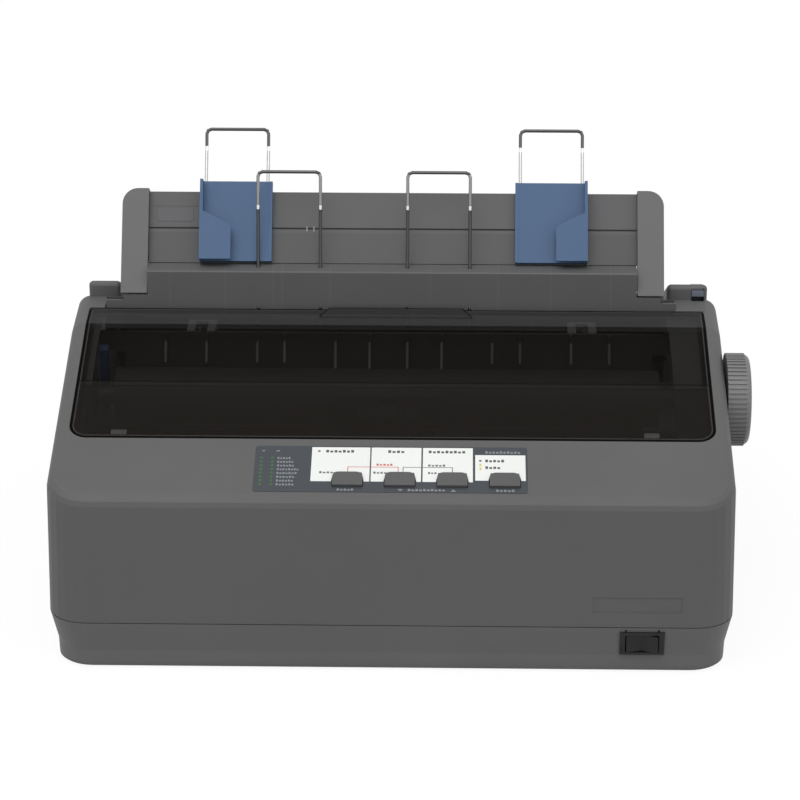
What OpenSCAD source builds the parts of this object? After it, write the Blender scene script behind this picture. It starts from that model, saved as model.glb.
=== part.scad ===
// Desktop dot matrix printer with a smoked front cover, a folding sheet guide,
// sliding edge guides and wire paper supports. Millimetres, +Z up.
// The origin lies on the floor, at the middle of the whole outline in plan.

/* [Case] */
// Width of the case at its shoulders
case_w = 348; // [340:1:380]
// How far each side stands out further where the two halves meet
seam_flare = 1.2; // [0:0.1:2]
// Depth of the case, front to back
case_d = 275; // [270:1:300]
// Radius of the upright corners
corner_r = 20; // [16:1:24]
// Radius of the edges round the top
shoulder_r = 7; // [5:0.5:8]
// Height of the joint between lower and upper case
seam_z = 27.5; // [26:0.5:29]
// Height of the sharp front shoulder above the floor
shoulder_z = 96.3; // [94:0.1:100]
// Slope of the front deck
deck_slope = 17.5; // [17:0.1:18]
// Slope of the short deck behind the bend
strip_slope = 6; // [5:0.5:7]
// Fall of the rear deck
rear_fall = 26; // [25:0.5:27]
// Distance from the front face back to the bend of the deck
deck_run = 135.5; // [134:0.5:137]
// Wall thickness of the case
wall = 2.5; // [2:0.1:3]
// Height of the rubber feet
foot_h = 3; // [2:0.5:5]
// Radius of a rubber foot
foot_r = 9; // [7:0.5:11]

/* [Front cover] */
// Thickness of the smoked cover
cover_t = 2.5; // [2:0.1:3]
// Width of the case left on each side of the cover
cover_margin = 8.5; // [8:0.5:10]
// Gap all round the cover
cover_gap = 0.45; // [0.3:0.05:0.7]
// Corner radius of the cover at the front
cover_r = 9; // [6:0.5:12]
// Distance from the front face back to the cover
cover_front = 45.7; // [44:0.1:48]
// Radius of the cover's hinge pins
cover_pin_r = 0.9; // [0.7:0.05:1]
// Height that the finger pad stands proud
pad_h = 1.2; // [0.6:0.1:1.4]

/* [Control panel] */
// Width of the control panel overlay
panel_w = 138; // [134:1:142]
// Length of the overlay up the slope
panel_l = 35.5; // [34:0.5:37]
// Thickness of the overlay
panel_t = 0.5; // [0.3:0.1:0.8]
// Width of a button
button_w = 15.2; // [13:0.1:17]
// Length of a button up the slope
button_l = 10; // [8:0.5:11]
// Spacing of the buttons
button_pitch = 26.4; // [24:0.1:27]
// Travel of a button
button_travel = 1; // [0.5:0.1:1.5]
// Number of buttons
button_count = 4;

/* [Paper feed] */
// Radius of the platen roller
platen_r = 15; // [14:0.5:16]
// Radius of the platen's steel shaft
platen_shaft_r = 5; // [4:0.5:6]
// Radius of the paper feed knob
knob_r = 24.7; // [22:0.1:26]
// Width of the knob
knob_w = 12.5; // [10:0.5:15]
// Ridges round the knob
knob_ridges = 60; // [40:2:80]
// Teeth of the platen gear
platen_teeth = 34; // [32:1:36]
// Teeth of the idler gear
idler_teeth = 24; // [22:1:26]
// Teeth of the motor pinion
pinion_teeth = 16; // [15:1:18]
// Width of the gears
gear_w = 5; // [4:0.5:5.5]
// Half side of the square tractor shaft
square_half = 3; // [2.5:0.1:3.5]
// Radius of the tractor pin wheels
sprocket_r = 13; // [11:0.5:14]
// Pins on each wheel
sprocket_pins = 8; // [6:1:10]

/* [Sheet guide] */
// Backward lean of the sheet guide
guide_lean = 30; // [28:1:32]
// Width of the rails at the guide's sides
rail_w = 14.3; // [12:0.1:16]
// Length of the rails above the hinge
rail_l = 57; // [50:1:64]
// Thickness of a rail
rail_t = 7; // [6:0.1:7.2]
// Thickness of the panel between the rails
sheet_t = 2.4; // [2:0.1:2.6]
// Height of the fixed ledge above the hinge
ledge_up = 16; // [14:0.5:18]
// Depth of the fixed ledge, front to back
ledge_d = 12; // [11:0.5:13]
// Width of an edge guide
edge_w = 39; // [34:1:42]
// Length of an edge guide up the slope
edge_l = 44; // [40:0.5:46]
// Depth of an edge guide's side wall
edge_depth = 10; // [8:0.5:12]
// Thickness of the edge guide's back plate
edge_t = 3.4; // [3:0.1:4]
// Radius of the support wires
wire_r = 0.9; // [0.7:0.1:1]
// Width across a wire support
wire_w = 35.5; // [30:0.5:37]
// How far the rear wires stand above their edge guides
rear_wire_up = 29; // [20:1:34]

/* [Print mechanism] */
// Radius of the carriage shaft
carriage_shaft_r = 4; // [3:0.5:5]
// Width of the carriage
carriage_w = 56; // [50:1:62]
// Width of the ribbon cartridge
cartridge_w = 92; // [84:1:100]
// Radius of the belt pulleys
pulley_r = 8; // [7:0.5:9]
// Thickness of the timing belt
belt_t = 1.2; // [1:0.1:1.4]
// Thickness of the steel frame plates
plate_t = 1.6; // [1.2:0.1:2]

/* [Power switch] */
// Width of the switch bezel
switch_w = 22.7; // [20:0.1:25]
// Height of the switch bezel
switch_h = 13.7; // [12:0.1:15]
// Distance of the switch from the middle of the case
switch_x = 128; // [110:1:135]

/* [Hidden] */
$fn = 48;

// Clearances: running bores, loose slides, pieces that lie beside each other
run_gap = 0.05;
slide_gap = 0.3;
loose_gap = 0.5;

// Case outline
half_w = case_w / 2;
seam_half = half_w + seam_flare;
front_y = -case_d / 2;
rear_y = case_d / 2;
bend_y = front_y + deck_run;
bend_z = shoulder_z + deck_run * tan(deck_slope);

// Hinge of the sheet guide, and the plane of the rear deck just below it
hinge_y = bend_y + 28;
hinge_z = bend_z + 7;
ridge_y = hinge_y + (hinge_z - 0.33 - bend_z - (hinge_y - bend_y) * tan(strip_slope))
    / (tan(strip_slope) + tan(rear_fall));
ridge_z = bend_z + (ridge_y - bend_y) * tan(strip_slope);
rear_z = ridge_z - (rear_y - ridge_y) * tan(rear_fall);

// Places across the width
knob_x0 = half_w + 1.5;
knob_x1 = knob_x0 + knob_w;
knob_reach = knob_x1 - seam_half;
left_frame_x = -half_w + 12;
right_frame_x = half_w - 22;
guide_x0 = -half_w + 24.7;
guide_x1 = half_w - 29.3;
ledge_x0 = guide_x0 + rail_w + 0.4;
ledge_x1 = guide_x1 - rail_w - 0.5;
cover_half = half_w - cover_margin;
opening_x0 = -cover_half + 7;
opening_x1 = cover_half - 19;

// Front cover
cover_y0 = front_y + cover_front;
cover_y1 = hinge_y - 9.3;
cover_pin_y = cover_y1 - cover_t / 2;
cover_pin_z = deck_z(cover_pin_y) - cover_t / 2;
cover_back_r = 3;
hinge_gap = 0.8;
hinge_room = cover_t + 1.6;
ledge_depth = cover_t + 0.3;

// Platen, gears and levers
platen_y = bend_y - 20.5;
platen_z = bend_z - 33;
platen_x0 = left_frame_x + 14;
platen_x1 = right_frame_x - 12;
gear_x = left_frame_x - 2.5 - gear_w;
backlash = 0.1;
idler_dir = -60;
idler_y = platen_y + gear_reach(platen_teeth, idler_teeth) * cos(idler_dir);
idler_z = platen_z + gear_reach(platen_teeth, idler_teeth) * sin(idler_dir);
pinion_dir = -18;
pinion_y = idler_y + gear_reach(idler_teeth, pinion_teeth) * cos(pinion_dir);
pinion_z = idler_z + gear_reach(idler_teeth, pinion_teeth) * sin(pinion_dir);
motor_r = 20;
motor_l = 21;
lever_y = platen_y + 14.5;
lever_z = platen_z - 10;
lever_r = 33;
release_y = ridge_y + 8;
release_z = ridge_z - 32;

// Print mechanism
base_z = 50;
base_top = base_z + plate_t;
shaft_y = platen_y - 39.5;
shaft_z = platen_z - 30;
rail_y = shaft_y - 36;
belt_y = shaft_y - 18;
belt_z = base_top + 8;
belt_w = 6;
drive_x = left_frame_x + 24;
idle_x = right_frame_x - 26;
carriage_x = -3;
tractor_back = 49.5;
tractor_y = rear_y - tractor_back;
tractor_z = 88;
tractor_x = 112;
tractor_w = 16;
rod_y = tractor_y - 24;
rod_z = tractor_z - 10;
rod_r = 3;

// Edge guides and wires
edge_x = 87.3;
wire_x1 = -58;
wire_x2 = 22.8;
wire_lean = 15;
wire_y = hinge_y - 0.5;
sheet_n = 3.3;
edge_n = sheet_n + slide_gap;
edge_s0 = (ledge_up + 0.6 - edge_n * sin(guide_lean)) / cos(guide_lean);

// Lower case and boards
floor_z = foot_h + wall;
board_z = floor_z + 7.5;
board_t = 1.6;
panel_rear_z = 48;

function deck_z(y) = y < bend_y
    ? shoulder_z + (y - front_y) * tan(deck_slope)
    : bend_z + (y - bend_y) * tan(strip_slope);

// Points along an arc, and a rectangle with rounded corners
function arc(x, y, r, a0, a1, n = 8) =
    [for (i = [0:n]) let (a = a0 + (a1 - a0) * i / n) [x + r * cos(a), y + r * sin(a)]];
function round_rect(x0, y0, x1, y1, r, n = 8) = concat(
    arc(x1 - r, y1 - r, r, 0, 90, n), arc(x0 + r, y1 - r, r, 90, 180, n),
    arc(x0 + r, y0 + r, r, 180, 270, n), arc(x1 - r, y0 + r, r, 270, 360, n));

// Involute gears of module 1: centre distance, flank angle and tooth phase
pressure = 20;
addendum = 0.8;
dedendum = 1.2;
function gear_reach(a, b) = (a + b) / 2 + backlash / 2;
function involute(a) = tan(a) * 180 / PI - a;
function flank(n, r) =
    let (base = n / 2 * cos(pressure), a = r > base ? acos(base / r) : 0)
    (90 - backlash * 40) / n + involute(pressure) - involute(a);
function mesh_phase(phase, n, m, dir) = dir + 180 - (180 - n * (dir - phase)) / m;
function gear_points(n) = [for (i = [0:n - 1]) let (c = 360 * i / n,
    radii = [for (k = [0:4]) n / 2 - dedendum + (addendum + dedendum) * k / 4])
    each concat(
        [for (r = radii) [r * cos(c - flank(n, r)), r * sin(c - flank(n, r))]],
        [for (k = [4:-1:0]) let (r = radii[k]) [r * cos(c + flank(n, r)), r * sin(c + flank(n, r))]])];

idler_phase = mesh_phase(0, platen_teeth, idler_teeth, idler_dir);
pinion_phase = mesh_phase(idler_phase, idler_teeth, pinion_teeth, pinion_dir);

// The knob stands out on the right, so the case lies a little to the left
module on_body() {
    translate([-knob_reach / 2, 0, 0]) children();
}

// A box between two corners
module box(a, b) {
    translate(a) cube(b - a);
}

// A profile drawn in Y and Z, carried along X
module along_x(x0, x1) {
    translate([x0, 0, 0]) rotate([90, 0, 90]) linear_extrude(x1 - x0) children();
}

// A rod along X
module rod_x(x0, x1, y, z, r) {
    translate([x0, y, z]) rotate([0, 90, 0]) cylinder(h = x1 - x0, r = r);
}

// The plane of the front deck: X across, Y up the slope, Z out of it
module on_deck(x, s) {
    translate([x, front_y, shoulder_z]) rotate([deck_slope, 0, 0])
        translate([0, s, 0]) children();
}

// The plane of the sheet guide: X across, Y up the guide, Z towards the front
module on_guide() {
    translate([0, hinge_y, hinge_z]) rotate([90 - guide_lean, 0, 0]) children();
}

// A disc with a rounded rim, for a corner of the case
module corner_disc(inset) {
    rotate_extrude($fn = 24)
        polygon(concat([[0, -shoulder_r - 1], [corner_r - inset, -shoulder_r - 1]],
            arc(corner_r - shoulder_r, -shoulder_r, shoulder_r - inset, 0, 90, 4),
            [[0, -inset]]));
}

// Distance from a sharp edge back to the disc that rounds it
function disc_back(slope) =
    corner_r - shoulder_r + shoulder_r * (1 - sin(slope)) / cos(slope);

// Ball under a bend of the deck, between the slopes a and b
module bend_ball(side, y, z, a, b, inset) {
    mid = (a + b) / 2;
    reach = shoulder_r / cos((a - b) / 2);
    translate([side * (half_w - shoulder_r), y + reach * sin(mid), z - reach * cos(mid)])
        sphere(shoulder_r - inset, $fn = 24);
}

// Outer form of the upper case, drawn in by inset on every side
module upper_form(inset, down) {
    hull() {
        translate([0, 0, seam_z - down]) linear_extrude(0.1)
            polygon(round_rect(-seam_half + inset, front_y + inset, seam_half - inset,
                rear_y - inset, corner_r - inset, 6));
        for (side = [-1, 1]) {
            on_deck(side * (half_w - corner_r), disc_back(deck_slope)) corner_disc(inset);
            translate([side * (half_w - corner_r), rear_y, rear_z]) rotate([-rear_fall, 0, 0])
                translate([0, -disc_back(rear_fall), 0]) corner_disc(inset);
            bend_ball(side, bend_y, bend_z, deck_slope, strip_slope, inset);
            bend_ball(side, ridge_y, ridge_z, strip_slope, -rear_fall, inset);
        }
    }
}

// A band that follows the deck, from depth a down to depth b below its surface
module deck_band(x0, x1, y0, y1, a, b) {
    along_x(x0, x1) polygon([[y0, deck_z(y0) - b], [bend_y, bend_z - b], [y1, deck_z(y1) - b],
        [y1, deck_z(y1) - a], [bend_y, bend_z - a], [y0, deck_z(y0) - a]]);
}

// Outline of the cover in plan, grown by a gap at the front and sides and another behind
module cover_outline(gap, back, back_r) {
    x = cover_half + gap - back_r;
    y = cover_y1 + back - back_r;
    polygon(concat(arc(x, y, back_r, 0, 90), arc(-x, y, back_r, 90, 180),
        arc(-cover_half + cover_r, cover_y0 + cover_r, cover_r + gap, 180, 270),
        arc(cover_half - cover_r, cover_y0 + cover_r, cover_r + gap, 270, 360)));
}

// Upright block beside the folded sheet guide
module rear_block(x0, x1) {
    r = 2.5;
    y0 = ridge_y - 1.3 + r;
    y1 = rear_y - corner_r / 2;
    top = hinge_z + (rail_t + 0.56) / cos(rear_fall);
    high = top + hinge_y * tan(rear_fall) - r / cos(rear_fall);
    low = ridge_z + ridge_y * tan(rear_fall) + 0.3;
    hull() for (x = [x0 + r, x1 - r], y = [y0, y1], z = [high, low])
        translate([x, y, z - y * tan(rear_fall)]) sphere(r, $fn = 20);
}

block_left_x0 = -half_w + 6;
block_left_x1 = guide_x0 - 0.9;
block_right_x0 = guide_x1 + 2.3;
block_right_x1 = half_w - 5;
release_x = block_right_x1 - 8.5;
release_w = 6.5;
rear_cut_x0 = -half_w + 74;
rear_cut_x1 = half_w - 26;

module upper_case() on_body() color("#67686a") difference() {
    union() {
        difference() {
            upper_form(0, 0);
            upper_form(wall, 1);
        }
        // seat of the cover, left standing under the deck
        deck_band(-half_w + 2, half_w - 2, cover_y0 - 5, cover_y1 + 3, wall - 0.2, ledge_depth + 2.4);
        rear_block(block_left_x0, block_left_x1);
        rear_block(block_right_x0, block_right_x1);
    }
    // recess that holds the cover flush
    intersection() {
        deck_band(-half_w, half_w, cover_y0 - cover_gap, cover_y1 + hinge_gap, -9, ledge_depth);
        linear_extrude(ridge_z + 20) cover_outline(cover_gap, hinge_gap, cover_back_r / 3);
    }
    // room under the cover's rear edge as it swings
    along_x(-cover_half - cover_gap, cover_half + cover_gap)
        polygon([for (p = [[-4.5, -1], [hinge_gap, -1], [hinge_gap, hinge_room], [-4.5, hinge_room]])
            [cover_y1 + p[0], deck_z(cover_y1 + p[0]) - p[1]]]);
    // openings under the cover, round the guide base and over the tractors
    translate([0, 0, base_top]) linear_extrude(ridge_z)
        polygon(round_rect(opening_x0, cover_y0 + 4, opening_x1, cover_y1 + 2, 4));
    box([opening_x0 + 0.5, cover_y1, base_top], [opening_x1 + 4.4, ridge_y - 1.7, ridge_z + 20]);
    box([guide_x0 + 1, ridge_y - 3, base_top], [guide_x1 + 0.6, rear_y - 17.5, ridge_z + 20]);
    // pin holes of the cover
    rod_x(-cover_half - cover_gap - 3.3, cover_half + cover_gap + 3.3,
        cover_pin_y, cover_pin_z, cover_pin_r + run_gap);
    // hole for the hub of the knob
    rod_x(half_w - 10, half_w + 10, platen_y, platen_z, knob_hub_r + 1.5);
    // seat of the overlay, holes for the buttons and the lamps
    on_deck(0, panel_s0 + panel_l / 2)
        translate([0, 0, -panel_t]) linear_extrude(5)
            polygon(round_rect(-panel_w / 2, -panel_l / 2, panel_w / 2, panel_l / 2, 1.5));
    for (i = [0:button_count - 1])
        on_deck(button_x(i), button_s) translate([0, 0, -12]) linear_extrude(20)
            button_outline(slide_gap);
    on_deck(lamp_x, lamp_s) box([-5, -12.5, -9], [5, 12.5, 4]);
    // shallow bare field at the front, right
    box([102.5, front_y - 1, 35.3], [147.7, front_y + 0.4, 44]);
    // notch that lets the rear panel of the lower case through
    box([rear_cut_x0 - slide_gap, rear_y - wall - 1, seam_z - 1],
        [rear_cut_x1 + slide_gap, rear_y + 1, panel_rear_z + slide_gap]);
    // slot of the release lever
    box([release_x - slide_gap, ridge_y - 2.5, ridge_z - 12],
        [release_x + release_w + slide_gap, ridge_y + 13, hinge_z + 3.2]);
    // air slots in the left and right walls
    for (side = [-1, 1], i = [0:6])
        box([side * half_w - 6, 34 + i * 9, 60], [side * half_w + 6, 38 + i * 9, 82]);
}

// Lower case, lofted from the flat underside out to the seam
module lower_form(inset, lift) {
    hull() for (level = [[foot_h, 9.5], [foot_h + 1.2, 6], skirt_low, [seam_z - 0.1, 0]])
        translate([0, 0, level[0] + (level[0] < seam_z - 1 ? inset : lift)]) linear_extrude(0.1)
            polygon(round_rect(-seam_half + level[1] + inset, front_y + level[1] + inset,
                seam_half - level[1] - inset, rear_y - level[1] - inset,
                corner_r - inset, 10));
}

posts = [[-half_w + 64, belt_y - 5], [half_w - 42, belt_y - 5],
    [-half_w + 34, rear_y - 62], [half_w - 42, rear_y - 62]];
main_board_x0 = 62 - half_w;
board_y0 = rear_y - 118;
board_y1 = rear_y - wall - 4;
panel_y = rear_y - 0.4;
supply_w = 66;
supply_x1 = half_w - 50;
supply_x0 = supply_x1 - supply_w;
main_board_x1 = supply_x0 - 14;
inlet_x = half_w - 50;
inlet_z = 30;
port_x = -42;
usb_x = 24;
foot_x = half_w - 36;
foot_y = case_d / 2 - 36;

module lower_case() on_body() color("#5d5e60") difference() {
    union() {
        difference() {
            lower_form(0, 0);
            lower_form(wall, 1);
            // fine groove along the seam
            translate([0, 0, seam_z - 0.6]) linear_extrude(1) difference() {
                square([2 * seam_half + 4, case_d + 4], center = true);
                polygon(round_rect(-seam_half + 0.8, front_y + 0.8, seam_half - 0.8,
                    rear_y - 0.8, corner_r - 0.8, 10));
            }
        }
        // raised panel at the back, which carries the sockets
        box([rear_cut_x0, panel_y - wall, seam_z - 14], [rear_cut_x1, panel_y, panel_rear_z]);
        // posts under the frame and the boards
        for (p = posts) translate([p[0], p[1], foot_h + 1]) cylinder(h = base_z - foot_h - 1, r = 4.5);
        for (x = [main_board_x0 + 6, main_board_x1 - 6, supply_x0 + 6, supply_x1 - 6],
                y = [board_y0 + 6, board_y1 - 12])
            translate([x, y, foot_h + 1]) cylinder(h = board_z - foot_h - 1, r = 3);
    }
    for (p = posts) translate([p[0], p[1], base_z - 12]) cylinder(h = 20, r = screw_r);
    // window of the power switch
    box([switch_x - switch_w / 2 + 1, front_y - 5, switch_z - switch_h / 2 + 1],
        [switch_x + switch_w / 2 - 1, front_y + 12, switch_z + switch_h / 2 - 1]);
    for (side = [-1, 1])
        box([switch_x + side * 8.3 - 0.6, front_y - 5, seam_z - 3.2],
            [switch_x + side * 8.3 + 0.6, front_y + 12, seam_z - 1.7]);
    // flat face round the sockets and their holes
    box([rear_cut_x0, panel_y, seam_z - 14], [rear_cut_x1, rear_y + 1, seam_z + 1]);
    box([inlet_x - 14, rear_y - 9, inlet_z - 10.2], [inlet_x + 14, rear_y + 5, inlet_z + 10.2]);
    box([port_x - 31, rear_y - 9, board_z + board_t - 0.4], [port_x + 31, rear_y + 5, board_z + board_t + 15]);
    box([usb_x - 6.5, rear_y - 9, board_z + board_t - 0.4], [usb_x + 6.5, rear_y + 5, board_z + board_t + 11.6]);
    // air slots in the floor
    for (i = [0:11])
        box([-60 + i * 10, front_y + 40, foot_h - 1], [-56 + i * 10, front_y + 80, floor_z + 1]);
}

module rubber_feet() on_body() color("#2a2a2b")
    for (x = [-foot_x, foot_x], y = [-foot_y, foot_y])
        translate([x, y, 0]) cylinder(h = foot_h, r = foot_r);

screw_r = 1.5;
module frame_screws() on_body() color("#b9bbbd")
    for (p = posts) translate([p[0], p[1], 0]) {
        translate([0, 0, base_z - 10]) cylinder(h = plate_t + 10, r = screw_r);
        difference() {
            translate([0, 0, base_top]) cylinder(h = 2.2, r = 3.2);
            box([-4, -0.4, base_top + 1.2], [4, 0.4, base_top + 3]);
            box([-0.4, -4, base_top + 1.2], [0.4, 4, base_top + 3]);
        }
    }

// Control panel
panel_s0 = 6.4;
panel_shift = 0.3;
button_s = 15.7;
lamp_x = -63.2 + panel_shift;
lamp_s = 22.3;
lamp_rows = 8;
function button_x(i) = 17.9 + (i - (button_count - 1) / 2) * button_pitch;

module button_outline(grow) {
    polygon(concat(
        arc(button_w / 2 - 3.4, button_l / 2 - 3.4, 3.4 + grow, 0, 90),
        arc(-button_w / 2 + 3.4, button_l / 2 - 3.4, 3.4 + grow, 90, 180),
        [[-button_w / 2 - grow, -button_l / 2 - grow], [button_w / 2 + grow, -button_l / 2 - grow]]));
}

module panel_overlay() on_body() color("#51555e") on_deck(0, panel_s0 + panel_l / 2)
    translate([0, 0, -panel_t]) difference() {
        linear_extrude(panel_t + 0.15)
            polygon(round_rect(-panel_w / 2 + 0.1, -panel_l / 2 + 0.1,
                panel_w / 2 - 0.1, panel_l / 2 - 0.1, 1.4));
        for (i = [0:button_count - 1])
            translate([button_x(i), button_s - panel_s0 - panel_l / 2, -1]) linear_extrude(5)
                button_outline(slide_gap);
        // windows for the lamps
        for (x = [-2.8, 2.8], i = [0:lamp_rows - 1])
            translate([lamp_x + x, lamp_s - panel_s0 - panel_l / 2 + lamp_row(i), -1])
                cylinder(h = 5, r = 0.85, $fn = 16);
    }
function lamp_row(i) = (i - (lamp_rows - 1) / 2) * 2.9;

module led_lenses() on_body() color("#3f8f3a") on_deck(lamp_x, lamp_s) {
    translate([0, 0, -panel_t - 2.2]) linear_extrude(2.2) square([9, 24], center = true);
    for (x = [-2.8, 2.8], i = [0:lamp_rows - 1])
        translate([x, lamp_row(i), -panel_t - 0.1]) cylinder(h = panel_t + 0.25, r = 0.8, $fn = 16);
}

control_drop = 9;
board_screw_x = [button_x(0) - 24, button_x(2.5)];
module control_board() on_body() color("#2f6b3c") on_deck(0, panel_s0 + panel_l / 2) {
    difference() {
        translate([0, 0, -control_drop - board_t]) linear_extrude(board_t)
            square([panel_w, panel_l - 4], center = true);
        for (x = board_screw_x) translate([x, 8, -control_drop - 4]) cylinder(h = 8, r = 1.5);
    }
    // a push switch under each button and the lamp block
    for (i = [0:button_count - 1])
        translate([button_x(i) - 3, button_s - panel_s0 - panel_l / 2 - 3, -control_drop]) {
            cube([6, 6, 2.6]);
            translate([3, 3, 2.5]) cylinder(h = 0.8, r = 1.6);
        }
    translate([lamp_x - 4, lamp_s - panel_s0 - panel_l / 2 - 12, -control_drop])
        cube([8, 24, control_drop - panel_t - 2.2]);
    // stand-offs up to the deck
    for (x = board_screw_x)
        translate([x, 8, -control_drop]) difference() {
            cylinder(h = control_drop - wall, r = 3);
            translate([0, 0, -1]) cylinder(h = 4, r = 1.5);
        }
}

module button(i) on_body() color("#626364") on_deck(button_x(i), button_s) {
    // cap, flange behind the deck and stem down to its switch
    translate([0, 0, -wall - 0.3]) linear_extrude(wall + 0.3 + 1.5) button_outline(0);
    difference() {
        translate([0, 0, -wall - 1.4]) linear_extrude(1.1) button_outline(1.2);
        translate([-12, -button_l / 2 - 5, -wall - 2]) cube([24, 4.3, 3]);
    }
    translate([0, 0, -control_drop + 3.6 + button_travel]) cylinder(h = 3, r = 2);
}
module button_1() button(0);
module button_2() button(1);
module button_3() button(2);
module button_4() button(3);

// Power switch, set in the sloping skirt of the lower case
switch_z = 17.7;
skirt_low = [foot_h + 5, 3.8];
function skirt_y(z) = front_y + skirt_low[1] * (seam_z - 0.1 - z) / (seam_z - 0.1 - skirt_low[0]);
module switch_bezel() on_body() color("#26262a") difference() {
    union() {
        along_x(switch_x - switch_w / 2, switch_x + switch_w / 2)
            polygon([for (p = [[-0.9, -1], [-0.9, 1], [0, 1], [0, -1]])
                [skirt_y(switch_z + p[1] * switch_h / 2) + p[0], switch_z + p[1] * switch_h / 2]]);
        box([switch_x - switch_w / 2 + 1.3, front_y + 1, switch_z - switch_h / 2 + 1.3],
            [switch_x + switch_w / 2 - 1.3, front_y + 16, switch_z + switch_h / 2 - 1.3]);
    }
    box([switch_x - 8.6, front_y - 2, switch_z - 4.9], [switch_x + 8.6, front_y + 10, switch_z + 4.9]);
    translate([switch_x, front_y + 4.5, switch_z]) cylinder(h = 20, r = 1.05, center = true);
}

module switch_rocker() on_body() color("#1b1b1e") difference() {
    union() {
        // vee faced key on its pin
        translate([switch_x, front_y + 4.5, switch_z - 4.5]) linear_extrude(9)
            polygon([[-8, -4.2], [0, -2.4], [8, -5.6], [8.2, 0], [2.4, 2.6], [-2.4, 2.6], [-8.2, 0]]);
        translate([switch_x, front_y + 4.5, switch_z]) cylinder(h = 11, r = 1, center = true);
    }
    translate([switch_x - 4.2, front_y - 0.2, switch_z]) rotate([90, 0, 0]) cylinder(h = 1, r = 1.6);
}

// Sockets at the back
module power_inlet() on_body() color("#1d1d1f") difference() {
    union() {
        box([inlet_x - 15.5, panel_y, inlet_z - 12], [inlet_x + 15.5, panel_y + 1.4, inlet_z + 12]);
        box([inlet_x - 13.7, rear_y - 22, inlet_z - 9.9], [inlet_x + 13.7, rear_y, inlet_z + 9.9]);
    }
    translate([0, rear_y + 2, 0]) rotate([90, 0, 0]) linear_extrude(18)
        polygon([[inlet_x - 12, inlet_z - 7.7], [inlet_x + 12, inlet_z - 7.7],
            [inlet_x + 12, inlet_z + 3.5], [inlet_x + 8, inlet_z + 7.7],
            [inlet_x - 8, inlet_z + 7.7], [inlet_x - 12, inlet_z + 3.5]]);
    // slots of the three blades
    for (p = [[-7, -1.5], [0, 1.5], [7, -1.5]])
        box([inlet_x + p[0] - 1, rear_y - 20, inlet_z + p[1] - 2],
            [inlet_x + p[0] + 1, rear_y - 15, inlet_z + p[1] + 2]);
}

module parallel_port() on_body() color("#8c8e90") difference() {
    union() {
        box([port_x - 30, rear_y - 16, board_z + board_t], [port_x + 30, rear_y, board_z + board_t + 13.5]);
        // bail ears
        for (side = [-1, 1])
            box([port_x + side * 28.5 - 1.5, rear_y - 2, board_z + board_t + 3],
                [port_x + side * 28.5 + 1.5, rear_y + 2.5, board_z + board_t + 10]);
    }
    box([port_x - 25, rear_y - 10, board_z + board_t + 3], [port_x + 25, rear_y + 5, board_z + board_t + 4.8]);
    box([port_x - 25, rear_y - 10, board_z + board_t + 8.7], [port_x + 25, rear_y + 5, board_z + board_t + 10.5]);
    box([port_x - 26, rear_y - 10, board_z + board_t + 3], [port_x - 24, rear_y + 5, board_z + board_t + 10.5]);
    box([port_x + 24, rear_y - 10, board_z + board_t + 3], [port_x + 26, rear_y + 5, board_z + board_t + 10.5]);
}

module usb_port() on_body() color("#c2c4c6") difference() {
    box([usb_x - 6, rear_y - 16, board_z + board_t], [usb_x + 6, rear_y - 0.4, board_z + board_t + 11]);
    box([usb_x - 4.6, rear_y - 12, board_z + board_t + 1.2], [usb_x + 4.6, rear_y, board_z + board_t + 3.9]);
    box([usb_x - 4.6, rear_y - 12, board_z + board_t + 7.2], [usb_x + 4.6, rear_y, board_z + board_t + 9.6]);
    box([usb_x - 4.6, rear_y - 12, board_z + board_t + 1.2], [usb_x - 2.9, rear_y, board_z + board_t + 9.6]);
    box([usb_x + 2.9, rear_y - 12, board_z + board_t + 1.2], [usb_x + 4.6, rear_y, board_z + board_t + 9.6]);
}

// Boards
module main_board() on_body() color("#2f6b3c") {
    box([main_board_x0, board_y0, board_z], [main_board_x1, board_y1, board_z + board_t]);
    x0 = main_board_x0;
    x1 = main_board_x1;
    for (c = [[x0 + 22, 34, 28, 28, 3], [x1 - 84, 30, 22, 22, 2.4], [x1 - 44, 34, 30, 12, 3],
            [x0 + 16, 78, 40, 10, 8], [x1 - 74, 70, 14, 14, 9], [x1 - 44, 66, 12, 12, 9]])
        box([c[0], board_y0 + c[1] - 24, board_z + board_t - 0.1],
            [c[0] + c[2], board_y0 + c[1] - 24 + c[3], board_z + board_t + c[4]]);
}

module power_supply() on_body() color("#35603b") {
    box([supply_x0, board_y0, board_z], [supply_x1, board_y1 - 24, board_z + board_t]);
    // transformer with its winding, heat sink and capacitors
    box([supply_x0 + 12, board_y0 + 34, board_z + board_t - 0.1], [supply_x0 + 42, board_y0 + 60, board_z + 23]);
    box([supply_x0 + 52, board_y0 + 14, board_z + board_t - 0.1], [supply_x0 + 55, board_y0 + 70, board_z + 26]);
    for (i = [0:4]) box([supply_x0 + 54.9, board_y0 + 16 + i * 12, board_z + board_t + 2],
        [supply_x0 + 63, board_y0 + 18 + i * 12, board_z + 26]);
    for (p = [[14, 14], [36, 16]]) translate([supply_x0 + p[0], board_y0 + p[1], board_z + board_t - 0.1])
        cylinder(h = 22, r = 8);
}

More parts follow.
